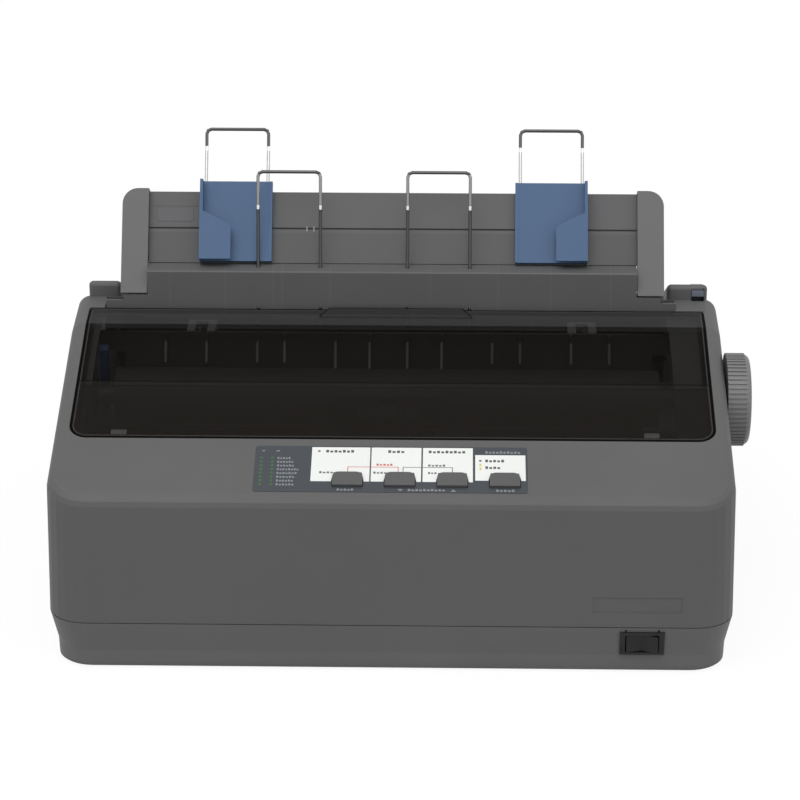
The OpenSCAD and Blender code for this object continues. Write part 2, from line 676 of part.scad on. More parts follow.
// Steel frame
frame_y0 = rail_y - 6;
frame_y1 = tractor_y + 14;
module base_frame() on_body() color("#a7a9ab") difference() {
    union() {
        box([left_frame_x, frame_y0, base_z], [right_frame_x + plate_t, frame_y1, base_top]);
        // bent up ear with the idle pulley's pin
        box([idle_x + pulley_r + 4, belt_y - 8, base_top - 0.1],
            [idle_x + pulley_r + 4 + plate_t, belt_y + 8, belt_z + belt_w + 4]);
        box([idle_x - 6, belt_y - 8, belt_z + belt_w + 4 - plate_t],
            [idle_x + pulley_r + 4 + 0.1, belt_y + 8, belt_z + belt_w + 4]);
        translate([idle_x, belt_y, base_top - 0.1]) cylinder(h = belt_z + belt_w + 2.6 - base_top, r = 2);
    }
    for (p = posts) translate([p[0], p[1], base_z - 1]) cylinder(h = 4, r = screw_r);
    translate([drive_x, belt_y, base_z - 1]) cylinder(h = 4, r = 11);
    for (x = [-90, -20, 50]) box([x, -24, base_z - 1], [x + 50, 60, base_top + 1]);
}

module side_plate() {
    difference() {
        polygon([[frame_y0, base_top], [frame_y1, base_top], [frame_y1, tractor_z + 10],
            [ridge_y + 28, tractor_z + 14], [ridge_y + 4, tractor_z + 24],
            [ridge_y + 4, ridge_z - 6.6], [hinge_y - 6, ridge_z - 6.6], [hinge_y - 6, ridge_z - 12],
            [platen_y + 14, platen_z + 21], [platen_y - 22, platen_z + 10],
            [frame_y0, shaft_z + 12]]);
        translate([platen_y, platen_z]) circle(bush_r);
        translate([shaft_y, shaft_z]) circle(carriage_shaft_r);
        translate([tractor_y, tractor_z]) circle(tractor_end_r + run_gap);
        translate([rod_y, rod_z]) circle(rod_r);
    }
}
bush_r = 8;
tractor_end_r = 2.8;

// Foot of a side plate, folded flat on the base
module side_foot(x0, x1) {
    box([x0, rail_y + 8, base_top], [x1, rail_y + 20, base_top + plate_t]);
    box([x0, frame_y1 - 50, base_top], [x1, frame_y1 - 20, base_top + plate_t]);
}

module side_frame_left() on_body() color("#b4b6b8") difference() {
    union() {
        along_x(left_frame_x, left_frame_x + plate_t) side_plate();
        side_foot(left_frame_x + 0.1, left_frame_x + 12);
    }
    // hole that passes the pinion
    rod_x(left_frame_x - 1, left_frame_x + plate_t + 1, pinion_y, pinion_z, pinion_teeth / 2 + 2);
    rod_x(left_frame_x - 1, left_frame_x + plate_t + 1, lever_y, lever_z, 2);
}

module side_frame_right() on_body() color("#b4b6b8") {
    along_x(right_frame_x, right_frame_x + plate_t) side_plate();
    side_foot(right_frame_x - 12, right_frame_x + 0.1);
    // lug that carries the release lever
    difference() {
        union() {
            box([right_frame_x + 0.1, release_y - 5, release_z - 5],
                [release_x - slide_gap, release_y + 5, release_z + 5]);
            rod_x(release_x - 1, release_x + release_w + 1, release_y, release_z, 2);
        }
        box([right_frame_x - 1, release_y - 3.4, release_z - 3.4],
            [release_x - slide_gap - 2, release_y + 3.4, release_z + 6]);
    }
}

module platen_bushes() on_body() color("#e4e0d2")
    for (x = [left_frame_x - 1, right_frame_x - 1]) difference() {
        union() {
            rod_x(x, x + plate_t + 3, platen_y, platen_z, bush_r);
            rod_x(x + plate_t + 1, x + plate_t + 3, platen_y, platen_z, bush_r + 1.5);
        }
        rod_x(x - 1, x + plate_t + 4, platen_y, platen_z, platen_shaft_r + run_gap);
    }

module carriage_shaft() on_body() color("#d7d9da")
    rod_x(left_frame_x - 2, right_frame_x + plate_t + 2, shaft_y, shaft_z, carriage_shaft_r);

module carriage_rail() on_body() color("#b4b6b8")
    along_x(left_frame_x + plate_t, right_frame_x)
        polygon([[rail_y, base_top], [rail_y + 7, base_top], [rail_y + 7, base_top + plate_t],
            [rail_y + plate_t, base_top + plate_t], [rail_y + plate_t, shaft_z + 2], [rail_y, shaft_z + 2]]);

// Belt drive
module carriage_motor() on_body() color("#8f9193") {
    translate([drive_x, belt_y, 0]) {
        difference() {
            translate([0, 0, base_z - 24]) linear_extrude(24) polygon(round_rect(-21, -21, 21, 21, 6));
            for (x = [-15.5, 15.5], y = [-15.5, 15.5])
                translate([x, y, base_z - 30]) cylinder(h = 40, r = 1.5);
        }
        translate([0, 0, base_z - 0.1]) cylinder(h = 2.1, r = 10.5);
        translate([0, 0, base_z]) cylinder(h = belt_z + belt_w + 1 - base_z, r = 2.5);
    }
}

module pulley(r, bore) {
    difference() {
        union() {
            cylinder(h = belt_w, r = r);
            for (z = [-1, belt_w]) translate([0, 0, z]) cylinder(h = 1, r = r + 2.2);
        }
        translate([0, 0, -2]) cylinder(h = belt_w + 4, r = bore + run_gap);
        for (i = [0:15]) rotate(i * 22.5) translate([r, 0, 0.01]) cylinder(h = belt_w - 0.02, r = 0.5, $fn = 16);
    }
}
module drive_pulley() on_body() color("#c9cbcc") translate([drive_x, belt_y, belt_z]) pulley(pulley_r - 0.1, 2.5);
module idler_pulley() on_body() color("#e4e0d2") translate([idle_x, belt_y, belt_z]) pulley(pulley_r - 0.1, 2);

module belt_loop(r) {
    polygon(concat(arc(idle_x, belt_y, r, -90, 90, 12), arc(drive_x, belt_y, r, 90, 270, 12)));
}
module timing_belt() on_body() color("#222224") translate([0, 0, belt_z + 0.3]) linear_extrude(belt_w - 0.6)
    difference() {
        belt_loop(pulley_r + belt_t);
        belt_loop(pulley_r);
    }

module feed_motor() on_body() color("#8f9193") {
    rod_x(left_frame_x + plate_t, left_frame_x + plate_t + motor_l, pinion_y, pinion_z, motor_r);
    rod_x(left_frame_x - 1, left_frame_x + plate_t + 0.1, pinion_y, pinion_z, 5);
    rod_x(gear_x - 1, left_frame_x, pinion_y, pinion_z, 2);
    difference() {
        along_x(left_frame_x + plate_t, left_frame_x + 2 * plate_t)
            polygon([[pinion_y - 9, pinion_z - 21], [pinion_y + 9, pinion_z - 21],
                [pinion_y + 26, pinion_z - 4], [pinion_y + 26, pinion_z + 4],
                [pinion_y + 4, pinion_z + 20.5], [pinion_y - 20, pinion_z + 4], [pinion_y - 20, pinion_z - 4]]);
        rod_x(left_frame_x, left_frame_x + 9, pinion_y + 23, pinion_z, 1.6);
    }
}

// Paper path under and behind the platen
chute_r = platen_r + 1.6;
module paper_chute() on_body() color("#3a3b3d") {
    x0 = left_frame_x + plate_t + motor_l + 4;
    x1 = right_frame_x - 20;
    exit_dir = 8;
    from = [platen_y + chute_r * sin(exit_dir), platen_z - chute_r * cos(exit_dir)];
    to_y = tractor_y - 38;
    run = to_y - from[0];
    along_x(x0, x1) polygon(concat(
        arc(platen_y, platen_z, chute_r, 222, 270 + exit_dir, 12),
        [[to_y, from[1] + run * tan(exit_dir)], [to_y + 4, from[1] + run * tan(exit_dir) - 2]],
        arc(platen_y, platen_z, chute_r + 1.6, 270 + exit_dir, 222, 12)));
    // cross beam that hangs the chute between the side frames
    box([left_frame_x + plate_t, platen_y - 8, platen_z - chute_r - 5],
        [right_frame_x, platen_y - 2, platen_z - chute_r - 1.2]);
}

rib_places = [-121, -99, -71.6, -56.9, -29.4, -11, 9.3, 27.8, 55, 70, 97.5, 118];
module eject_guide() on_body() color("#2d2e30") {
    y0 = platen_y + platen_r + 4.5;
    z0 = platen_z;
    y1 = cover_y1 - 7;
    z1 = bend_z - 9;
    along_x(platen_x0 + 2, platen_x1 - 2) polygon([[y0, z0], [y1, z1], [y1 + 2, z1], [y0 + 2, z0]]);
    for (i = [0:len(rib_places) - 1]) {
        low = (i > 3 && i < 8) ? 0 : 0.4;
        along_x(rib_places[i] + carriage_x - 0.6, rib_places[i] + carriage_x + 0.6)
            polygon([[y0 + (y1 - y0) * low, z0 + (z1 - z0) * low], [y1, z1], [y1 - 3.4, z1],
                [y0 + (y1 - y0) * low - 2, z0 + (z1 - z0) * low + 1]]);
    }
    // end tabs on the side frames
    for (e = [[left_frame_x + plate_t, platen_x0 + 2.1], [platen_x1 - 2.1, right_frame_x]])
        along_x(e[0], e[1])
            polygon([[y0 + (y1 - y0) * 0.6, z0 + (z1 - z0) * 0.6], [y1, z1], [y1 + 2, z1],
                [y0 + 2 + (y1 - y0) * 0.6, z0 + (z1 - z0) * 0.6]]);
}

// Fixed base of the sheet guide
base_y = hinge_y - 7;
ledge_z = hinge_z + ledge_up;
base_low_z = bend_z - 2.6;
hinge_pin_r = 2;
module guide_base() on_body() color("#505153") {
    wall_t = 1.6;
    difference() {
        union() {
            // front wall, its wider foot, the ledge and the end walls
            box([ledge_x0, base_y, base_low_z], [ledge_x1, base_y + wall_t, ledge_z]);
            box([guide_x0 + 1.6, base_y, base_low_z], [guide_x1 - 1.9, base_y + wall_t, hinge_z + 1.8]);
            box([ledge_x0, base_y, ledge_z - 2], [ledge_x1, base_y + ledge_d, ledge_z]);
            for (x = [ledge_x0, ledge_x1 - 2])
                box([x, base_y, hinge_z - 5], [x + 2, base_y + ledge_d, ledge_z]);
            // low shelf that ties the ends together
            box([guide_x0 + 1.6, base_y, base_low_z], [guide_x1 - 1.9, base_y + 2.6, base_low_z + 1.8]);
        }
        for (x = [wire_x1, wire_x2], side = [-1, 1])
            wire_frame(x) translate([side * (wire_w / 2 - wire_r), 0, -40]) cylinder(h = 60, r = wire_r + slide_gap, $fn = 24);
    }
    // hinge pins of the sheet guide
    rod_x(ledge_x0 - 8, ledge_x0 + 1, hinge_y, hinge_z, hinge_pin_r);
    rod_x(ledge_x1 - 1, ledge_x1 + 8, hinge_y, hinge_z, hinge_pin_r);
    // feet on the side frames
    for (e = [[left_frame_x, guide_x0 + 1.7], [guide_x1 - 2, right_frame_x + plate_t]])
        box([e[0], base_y + 1, ridge_z - 6.6], [e[1], ridge_y - 2.2, ridge_z - 4.6]);
    for (e = [[guide_x0 + 1.6, ledge_x0 + 2], [ledge_x1 - 2, guide_x1 - 1.9]])
        box([e[0], base_y, ridge_z - 6.6], [e[1], ridge_y - 2.2, ridge_z - 4.6]);
}

// Frame of a front wire: origin in the ledge, Z up along its legs
module wire_frame(x) {
    translate([x, wire_y, ledge_z]) rotate([-wire_lean, 0, 0]) children();
}

// A rod between two points, with a ball at its end that closes the bend
module wire_run(a, b) {
    d = b - a;
    translate(a) rotate([0, acos(d[2] / norm(d)), atan2(d[1], d[0])])
        cylinder(h = norm(d), r = wire_r, $fn = 24);
    translate(b) sphere(wire_r + 0.03, $fn = 24);
}

// A wire bent to a hoop, with legs that start at z0 and lean forward above the kink
module wire_hoop(w, z0, kink, top, tilt) {
    half = w / 2 - wire_r;
    round_top = concat(arc(half - 2.5, top - 2.5, 2.5, 0, 90, 2), arc(-half + 2.5, top - 2.5, 2.5, 90, 180, 2));
    path = concat([[half, z0], [half, kink]], round_top, [[-half, kink], [-half, z0]]);
    spots = [for (p = path) [p[0], p[1] > kink ? -(p[1] - kink) * tan(tilt) : 0, p[1]]];
    for (i = [0:len(spots) - 2]) wire_run(spots[i], spots[i + 1]);
}

front_wire_low = -31;
front_wire_kink = 29;
front_wire_top = 51.5;
module front_wire_left() on_body() color("#c9cbcc") wire_frame(wire_x1)
    wire_hoop(wire_w, front_wire_low, front_wire_kink, front_wire_top, 3);
module front_wire_right() on_body() color("#c9cbcc") wire_frame(wire_x2)
    wire_hoop(wire_w, front_wire_low, front_wire_kink, front_wire_top, 3);

// Folding sheet guide, drawn in its own plane
sheet_s0 = (ledge_up + 0.2 - sheet_n * sin(guide_lean)) / cos(guide_lean);
sheet_s1 = rail_l;
rail_n0 = 0.56;
rail_gap = 0.1;
module sheet_guide() on_body() color("#5f6062") {
    rail_s0 = (3.1 - (rail_n0 + rail_t) * sin(guide_lean)) / cos(guide_lean);
    rail_s1 = (3.1 - rail_n0 * sin(guide_lean)) / cos(guide_lean);
    corner = 8.5;
    for (e = [[guide_x0, guide_x0 + rail_w, 1], [guide_x1 - rail_w, guide_x1, -1]]) difference() {
        union() {
            // rail with its rounded outer corner
            on_guide() intersection() {
                along_x(e[0], e[1]) polygon([[rail_s0, rail_n0 + rail_t], [rail_s1, rail_n0],
                    [rail_l, rail_n0], [rail_l, rail_n0 + rail_t]]);
                translate([0, 0, -2]) linear_extrude(rail_t + 6)
                    polygon(e[2] > 0
                        ? concat([[e[0], -9], [e[1], -9], [e[1], rail_l]],
                            arc(e[0] + corner, rail_l - corner, corner, 90, 180))
                        : concat([[e[1], -9]], arc(e[1] - corner, rail_l - corner, corner, 0, 90),
                            [[e[0], rail_l], [e[0], -9]]));
            }
            // eye round the hinge pin
            rod_x(e[0] + 0.5, e[1], hinge_y, hinge_z, 4.6);
        }
        rod_x(e[2] > 0 ? e[0] + 3 : e[0] - 1, e[2] > 0 ? e[1] + 1 : e[1] - 3,
            hinge_y, hinge_z, hinge_pin_r + run_gap);
    }
    // panel, set in between the rails
    on_guide() difference() {
        union() {
            along_x(guide_x0 + rail_w + rail_gap, guide_x1 - rail_w - rail_gap)
                polygon([[sheet_s0, sheet_n - sheet_t], [sheet_s1 - 1, sheet_n - sheet_t],
                    [sheet_s1 - 1, sheet_n], [sheet_s0, sheet_n]]);
            // stiffening ribs on the back
            for (i = [0:6]) {
                x = guide_x0 + rail_w + 16 + i * (guide_x1 - guide_x0 - 2 * rail_w - 32) / 6;
                translate([x - 0.8, sheet_s0 + 3, 0.3]) cube([1.6, sheet_s1 - sheet_s0 - 8, sheet_n - sheet_t - 0.2]);
            }
        }
        // guide line across the panel
        translate([guide_x0, sheet_s0 + 18.6, sheet_n - 0.5]) cube([guide_x1 - guide_x0, 1, 2]);
    }
}

// Edge guide that slides along the sheet guide; hand is the side of its wall
module edge_guide(x, hand) {
    on_guide() translate([x, 0, edge_n]) mirror([hand > 0 ? 1 : 0, 0, 0]) difference() {
        union() {
            // back plate, side wall and the lip that holds the paper's edge
            translate([-edge_w / 2, edge_s0, 0]) cube([edge_w, edge_l, edge_t]);
            translate([-edge_w / 2, edge_s0, 0]) cube([1.6, edge_l, edge_depth]);
            translate([0, 0, edge_depth - 1.6]) linear_extrude(1.6)
                polygon([[-edge_w / 2, edge_s0], [-edge_w / 2 + 17, edge_s0],
                    [-edge_w / 2 + 17, edge_s0 + 17.5], [-edge_w / 2 + 15.5, edge_s0 + 19.4],
                    [-edge_w / 2 + 1.6, edge_s0 + 26.5], [-edge_w / 2, edge_s0 + 26.5]]);
            translate([edge_w / 2 - 1.4, edge_s0, 0]) cube([1.4, edge_l, edge_t + 0.5]);
        }
        // bores of the sliding wire
        for (side = [-1, 1])
            translate([side * (wire_w / 2 - wire_r), edge_s0 + 3, edge_t / 2]) rotate([-90, 0, 0])
                cylinder(h = edge_l, r = wire_r + run_gap * 2, $fn = 24);
    }
}
module edge_guide_left() on_body() color("#536a87") edge_guide(-edge_x, -1);
module edge_guide_right() on_body() color("#536a87") edge_guide(edge_x - 3.6, 1);

module rear_wire(x) {
    top = edge_s0 + edge_l + rear_wire_up;
    on_guide() translate([x, 0, edge_n + edge_t / 2]) rotate([-90, 0, 0])
        wire_hoop(wire_w, edge_s0 + 35, top - 11, top, 8);
}
module rear_wire_left() on_body() color("#c9cbcc") rear_wire(-edge_x);
module rear_wire_right() on_body() color("#c9cbcc") rear_wire(edge_x - 3.6);

// Smoked cover, flush with the deck
module front_cover() on_body() color("#2a2826", 0.75) {
    intersection() {
        deck_band(-half_w, half_w, cover_y0, cover_y1, 0, cover_t);
        linear_extrude(ridge_z + 20) cover_outline(0, 0, cover_back_r);
    }
    // hinge pins
    for (side = [-1, 1])
        rod_x(side > 0 ? cover_half - 6 : -cover_half - 3, side > 0 ? cover_half + 3 : -cover_half + 6,
            cover_pin_y, cover_pin_z, cover_pin_r);
    // finger pad at the back edge
    translate([0, cover_y1, deck_z(cover_y1)]) rotate([strip_slope, 0, 0]) translate([0, 0, -0.2])
        linear_extrude(pad_h + 0.2) polygon([[-41, -10.5], [41, -10.5], [36, -0.6], [-36, -0.6]]);
    // catches at the front
    for (x = [-cover_half + 26, cover_half - 33])
        box([x - 3.5, cover_y0 + 5, deck_z(cover_y0 + 5) - cover_t - 4],
            [x + 3.5, cover_y0 + 6.6, deck_z(cover_y0 + 6) - cover_t + 0.5]);
}

// Platen with its shaft, gear and knob
module platen_roller() on_body() color("#1f1f20") difference() {
    rod_x(platen_x0, platen_x1, platen_y, platen_z, platen_r);
    rod_x(platen_x0 - 1, platen_x1 + 1, platen_y, platen_z, platen_shaft_r);
}

module platen_shaft() on_body() color("#d7d9da")
    rod_x(gear_x - 1, knob_x1 - 3, platen_y, platen_z, platen_shaft_r);

module gear(n, bore, phase, y, z) {
    along_x(gear_x, gear_x + gear_w) difference() {
        translate([y, z]) rotate(phase) polygon(gear_points(n));
        translate([y, z]) circle(bore);
    }
}
module platen_gear() on_body() color("#e4e0d2") gear(platen_teeth, platen_shaft_r, 0, platen_y, platen_z);
module motor_pinion() on_body() color("#d9b25a") gear(pinion_teeth, 2 + run_gap, pinion_phase, pinion_y, pinion_z);
module idler_gear() on_body() color("#e4e0d2") {
    gear(idler_teeth, 3, idler_phase, idler_y, idler_z);
    rod_x(gear_x - 1, left_frame_x - 0.3, idler_y, idler_z, 3);
}

knob_hub_r = 8.5;
module platen_knob() on_body() color("#626365") difference() {
    union() {
        // hub, rim with a rounded outer edge and fine ridges
        rod_x(half_w - 8, knob_x0 + 0.1, platen_y, platen_z, knob_hub_r);
        translate([knob_x0, platen_y, platen_z]) rotate([0, 90, 0]) rotate_extrude($fn = 96)
            polygon(concat([[0, 0], [knob_r - 0.7, 0]],
                arc(knob_r - 3.7, knob_w - 3, 3, 0, 90, 5), [[0, knob_w]]));
        for (i = [0:knob_ridges - 1])
            translate([knob_x0, platen_y, platen_z]) rotate([i * 360 / knob_ridges, 0, 0])
                translate([0, -0.45, knob_r - 1.4]) cube([knob_w - 2.6, 0.9, 1.4]);
    }
    rod_x(half_w - 9, knob_x1 - 3, platen_y, platen_z, platen_shaft_r);
    // dished outer face
    translate([knob_x1 - 1, platen_y, platen_z]) rotate([0, 90, 0]) difference() {
        cylinder(h = 2, r = knob_r - 5);
        translate([0, 0, -1]) cylinder(h = 4, r = 9);
    }
}

// Carriage with head and ribbon
head_z = platen_z;
module carriage() on_body() color("#38393b") difference() {
    union() {
        // bearing block on the shaft, deck for the head and foot on the rail
        box([carriage_x - carriage_w / 2, shaft_y - 9, shaft_z - 9],
            [carriage_x + carriage_w / 2, shaft_y + 10, shaft_z + 9]);
        box([carriage_x - carriage_w / 2, rail_y - 3.4, shaft_z + 5],
            [carriage_x + carriage_w / 2, shaft_y + 14, shaft_z + 10]);
        box([carriage_x - 14, rail_y - 3.4, shaft_z - 8], [carriage_x + 14, rail_y + 5, shaft_z + 6]);
        // belt clamp
        box([carriage_x - 8, belt_y + pulley_r - 3, belt_z - 3],
            [carriage_x + 8, shaft_y - 8.9, shaft_z + 6]);
    }
    rod_x(carriage_x - carriage_w, carriage_x + carriage_w, shaft_y, shaft_z, carriage_shaft_r + run_gap);
    box([carriage_x - 20, rail_y - slide_gap, shaft_z - 9], [carriage_x + 20, rail_y + plate_t + slide_gap, shaft_z + 3]);
    box([carriage_x - 10, belt_y + pulley_r - slide_gap, belt_z - 0.4],
        [carriage_x + 10, belt_y + pulley_r + belt_t + slide_gap, belt_z + belt_w + 0.4]);
    // pocket round the lower part of the head
    box([carriage_x - 16, shaft_y + 4, shaft_z + 7], [carriage_x + 16, shaft_y + 20, shaft_z + 12]);
}

module print_head() on_body() color("#1d1e20") {
    nose_y = platen_y - platen_r - 1.1;
    y0 = shaft_y + 4;
    // finned body
    box([carriage_x - 16, y0, shaft_z + 7], [carriage_x + 16, y0 + 10, platen_z + 2]);
    for (i = [0:8])
        box([carriage_x - 15.4 + i * 3.6, y0 - 4, platen_z - 12], [carriage_x - 13.8 + i * 3.6, y0 + 10, platen_z + 5]);
    // nose with the needle guide
    along_x(carriage_x - 5, carriage_x + 5)
        polygon([[y0 + 9, platen_z - 9], [nose_y - 4, platen_z - 3], [nose_y, platen_z - 2],
            [nose_y, platen_z + 2], [nose_y - 4, platen_z + 3], [y0 + 9, platen_z + 1.5]]);
}

module ribbon_cartridge() on_body() color("#232426") {
    z0 = shaft_z + 10;
    z1 = z0 + 13;
    y0 = rail_y + 4;
    y1 = shaft_y - 1;
    y2 = platen_y - platen_r - 4;
    translate([carriage_x, 0, z0]) linear_extrude(z1 - z0)
        polygon(concat(round_rect(-cartridge_w / 2, y0, cartridge_w / 2, y1, 5)));
    // arms that lead the ribbon past the nose
    for (side = [-1, 1])
        translate([carriage_x, 0, z0 + 4]) linear_extrude(9)
            polygon([[side * 43, y1 - 2], [side * 24, y1 - 2], [side * 24, y1 + 3], [side * 30, y2 - 3],
                [side * 31, y2], [side * 34, y2], [side * 43, y1 + 4]]);
    // knob that takes up slack ribbon
    translate([carriage_x - 30, (y0 + y1) / 2, z1 - 0.1]) difference() {
        cylinder(h = 4.1, r = 7);
        for (i = [0:11]) rotate(i * 30) translate([7.3, 0, 1]) cylinder(h = 4, r = 0.9, $fn = 16);
    }
}

module ink_ribbon() on_body() color("#101012") {
    y = platen_y - platen_r - 0.75;
    z0 = platen_z - 6;
    box([carriage_x - 30, y, z0], [carriage_x + 30, y + 0.2, z0 + 12]);
    // the runs into the arms
    for (side = [-1, 1])
        translate([carriage_x, 0, z0 + 3.4]) linear_extrude(5)
            polygon([[side * 29.9, y + 0.2], [side * 32, y - 3.3], [side * 31.6, y - 3.5], [side * 29.5, y]]);
}

// Tractors at the back
module tractor_shaft() on_body() color("#d7d9da") {
    rod_x(left_frame_x - 3, right_frame_x + plate_t + 3, tractor_y, tractor_z, tractor_end_r);
    box([left_frame_x + plate_t + 1, tractor_y - square_half, tractor_z - square_half],
        [right_frame_x - 1, tractor_y + square_half, tractor_z + square_half]);
}

module tractor_rod() on_body() color("#d7d9da")
    rod_x(left_frame_x - 2, right_frame_x + plate_t + 2, rod_y, rod_z, rod_r);

// One tractor; hand points to the paper
module tractor(x, hand) {
    x0 = x - tractor_w / 2;
    x1 = x + tractor_w / 2;
    side_x = hand > 0 ? x0 : x1 - 4;
    difference() {
        union() {
            along_x(side_x, side_x + 4) polygon([[rod_y - 7, rod_z - 6], [tractor_y + 14, tractor_z - 12],
                [tractor_y + 17, tractor_z], [tractor_y + 12, tractor_z + sprocket_r - 1.5],
                [rod_y - 7, tractor_z + sprocket_r - 1.5]]);
            rod_x(x0, x1, rod_y, rod_z, rod_r + 2.6);
            // table that the paper lies on, in front of the pin wheel
            box([x0, rod_y - 7, tractor_z + sprocket_r - 4], [x1, tractor_y - 17.6, tractor_z + sprocket_r - 1.5]);
        }
        rod_x(x0 - 1, x1 + 1, rod_y, rod_z, rod_r + run_gap);
        rod_x(x0 - 1, x1 + 1, tractor_y, tractor_z, 7.6);
    }
}
module tractor_left() on_body() color("#4b4c4e") tractor(-tractor_x, -1);
module tractor_right() on_body() color("#4b4c4e") tractor(tractor_x - 8, 1);

// Pin wheel on the square shaft, with a hub that runs in the tractor
module sprocket(x, hand) {
    w0 = hand > 0 ? x - tractor_w / 2 + 4.3 : x - tractor_w / 2 + 1;
    w1 = w0 + tractor_w - 5.3;
    hub0 = hand > 0 ? x - tractor_w / 2 + 0.3 : w1 - 0.1;
    difference() {
        union() {
            rod_x(w0, w1, tractor_y, tractor_z, sprocket_r - 2);
            rod_x(hub0, hub0 + 4.1, tractor_y, tractor_z, 7.5);
            for (i = [0:sprocket_pins - 1])
                translate([(w0 + w1) / 2, tractor_y, tractor_z]) rotate([(i + 0.5) * 360 / sprocket_pins, 0, 0])
                    translate([0, 0, sprocket_r - 3]) cylinder(h = 4.6, r1 = 2, r2 = 1.2, $fn = 24);
        }
        box([w0 - 9, tractor_y - square_half - run_gap, tractor_z - square_half - run_gap],
            [w1 + 9, tractor_y + square_half + run_gap, tractor_z + square_half + run_gap]);
    }
}
module sprocket_left() on_body() color("#d8d8d4") sprocket(-tractor_x, -1);
module sprocket_right() on_body() color("#d8d8d4") sprocket(tractor_x - 8, 1);

// Lid that holds the paper on the pins, hinged at the front of the tractor
lid_y = tractor_y - 28;
lid_z = tractor_z + sprocket_r + 1.6;
module tractor_lid(x) {
    difference() {
        union() {
            box([x - tractor_w / 2, lid_y, lid_z - 1], [x + tractor_w / 2, tractor_y + 12, lid_z + 1]);
            rod_x(x - tractor_w / 2, x + tractor_w / 2, lid_y, lid_z, 2);
        }
        box([x - 3.5, lid_y + 8, lid_z - 3], [x + 3.5, tractor_y + 9, lid_z + 3]);
    }
}
module tractor_lid_left() on_body() color("#5b5c5e") tractor_lid(-tractor_x);
module tractor_lid_right() on_body() color("#5b5c5e") tractor_lid(tractor_x - 8);

// Levers
module release_lever() on_body() color("#6a707b") difference() {
    along_x(release_x, release_x + release_w) union() {
        translate([release_y, release_z]) circle(4);
        polygon([[release_y - 2.4, release_z], [release_y + 2.4, release_z],
            [release_y + 2.6, hinge_z + 1.5], [ridge_y - 1.7, hinge_z + 1.5],
            [ridge_y - 1.7, hinge_z - 1.2], [release_y - 2.2, hinge_z - 1.6]]);
    }
    rod_x(release_x - 1, release_x + release_w + 2, release_y, release_z, 2 + run_gap);
}

module thickness_lever() on_body() color("#1f3a63") {
    x0 = left_frame_x + plate_t + 2.2;
    along_x(x0, x0 + 4.4) union() {
        translate([lever_y, lever_z]) circle(4);
        polygon([[lever_y - 3, lever_z], [lever_y + 3, lever_z], [lever_y + 3, lever_z + lever_r - 2],
            [lever_y + 1, lever_z + lever_r], [lever_y - 1, lever_z + lever_r], [lever_y - 3, lever_z + lever_r - 2]]);
    }
    rod_x(left_frame_x - 0.6, x0 + 1, lever_y, lever_z, 2 - run_gap);
}

lower_case();
upper_case();
rubber_feet();
frame_screws();
panel_overlay();
led_lenses();
control_board();
switch_bezel();
power_inlet();
parallel_port();
usb_port();
main_board();
power_supply();
base_frame();
side_frame_left();
side_frame_right();
platen_bushes();
carriage_shaft();
carriage_rail();
carriage_motor();
timing_belt();
feed_motor();
paper_chute();
eject_guide();
guide_base();
tractor_rod();
button_1();
button_2();
button_3();
button_4();
switch_rocker();
front_cover();
sheet_guide();
edge_guide_left();
edge_guide_right();
rear_wire_left();
rear_wire_right();
front_wire_left();
front_wire_right();
platen_roller();
platen_shaft();
platen_gear();
platen_knob();
idler_gear();
motor_pinion();
carriage();
print_head();
ribbon_cartridge();
ink_ribbon();
drive_pulley();
idler_pulley();
tractor_shaft();
tractor_left();
tractor_right();
sprocket_left();
sprocket_right();
tractor_lid_left();
tractor_lid_right();
release_lever();
thickness_lever();
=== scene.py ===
import math
import bpy
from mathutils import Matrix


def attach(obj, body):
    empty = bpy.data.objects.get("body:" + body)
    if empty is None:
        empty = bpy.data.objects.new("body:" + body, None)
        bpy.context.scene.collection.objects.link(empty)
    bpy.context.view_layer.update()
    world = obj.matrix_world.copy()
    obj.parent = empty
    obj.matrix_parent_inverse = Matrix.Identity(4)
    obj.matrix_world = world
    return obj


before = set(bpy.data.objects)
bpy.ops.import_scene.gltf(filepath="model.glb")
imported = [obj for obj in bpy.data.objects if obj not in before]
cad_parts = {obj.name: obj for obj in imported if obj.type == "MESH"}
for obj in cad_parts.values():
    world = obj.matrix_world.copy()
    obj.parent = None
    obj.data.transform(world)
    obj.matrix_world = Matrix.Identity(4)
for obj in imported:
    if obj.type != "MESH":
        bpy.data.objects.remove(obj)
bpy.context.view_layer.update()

# ---------------------------------------------------------------- camera
# The photograph is taken from straight in front, 1.6 m away and 22 degrees above the
# desk, with a long lens. Place, turn and lens were fitted to the object's own corners.
scene = bpy.context.scene
camera = bpy.data.objects.new("camera", bpy.data.cameras.new("camera"))
scene.collection.objects.link(camera)
camera.location = (0.0247, -1.4925, 0.6983)
camera.rotation_euler = (math.radians(68), 0, math.radians(1.1))
camera.data.lens = 133.8
camera.data.sensor_width = 36
camera.data.clip_start = 0.05
scene.camera = camera

# ---------------------------------------------------------------- floor and light
# A white sweep under flat studio light: a soft overhead key from the left, a weak fill
# from the right and an even sky. The camera, glossy and clear pieces see plain white.
scene.view_settings.view_transform = "Standard"


def srgb(*levels):
    """Linear colour from 0-255 display levels."""
    def one(v):
        v /= 255
        return v / 12.92 if v <= 0.04045 else ((v + 0.055) / 1.055) ** 2.4
    return tuple(one(v) for v in levels) + (1,)


def new_node(tree, kind, **values):
    """A shader node with its properties and inputs set by name."""
    node = tree.nodes.new(kind)
    for key, value in values.items():
        if hasattr(node, key):
            setattr(node, key, value)
        else:
            node.inputs[key.replace("_", " ")].default_value = value
    return node


def feed(tree, value, socket):
    """Links a socket to an input, or sets the input to a plain value."""
    if isinstance(value, bpy.types.NodeSocket):
        tree.links.new(value, socket)
    else:
        socket.default_value = value


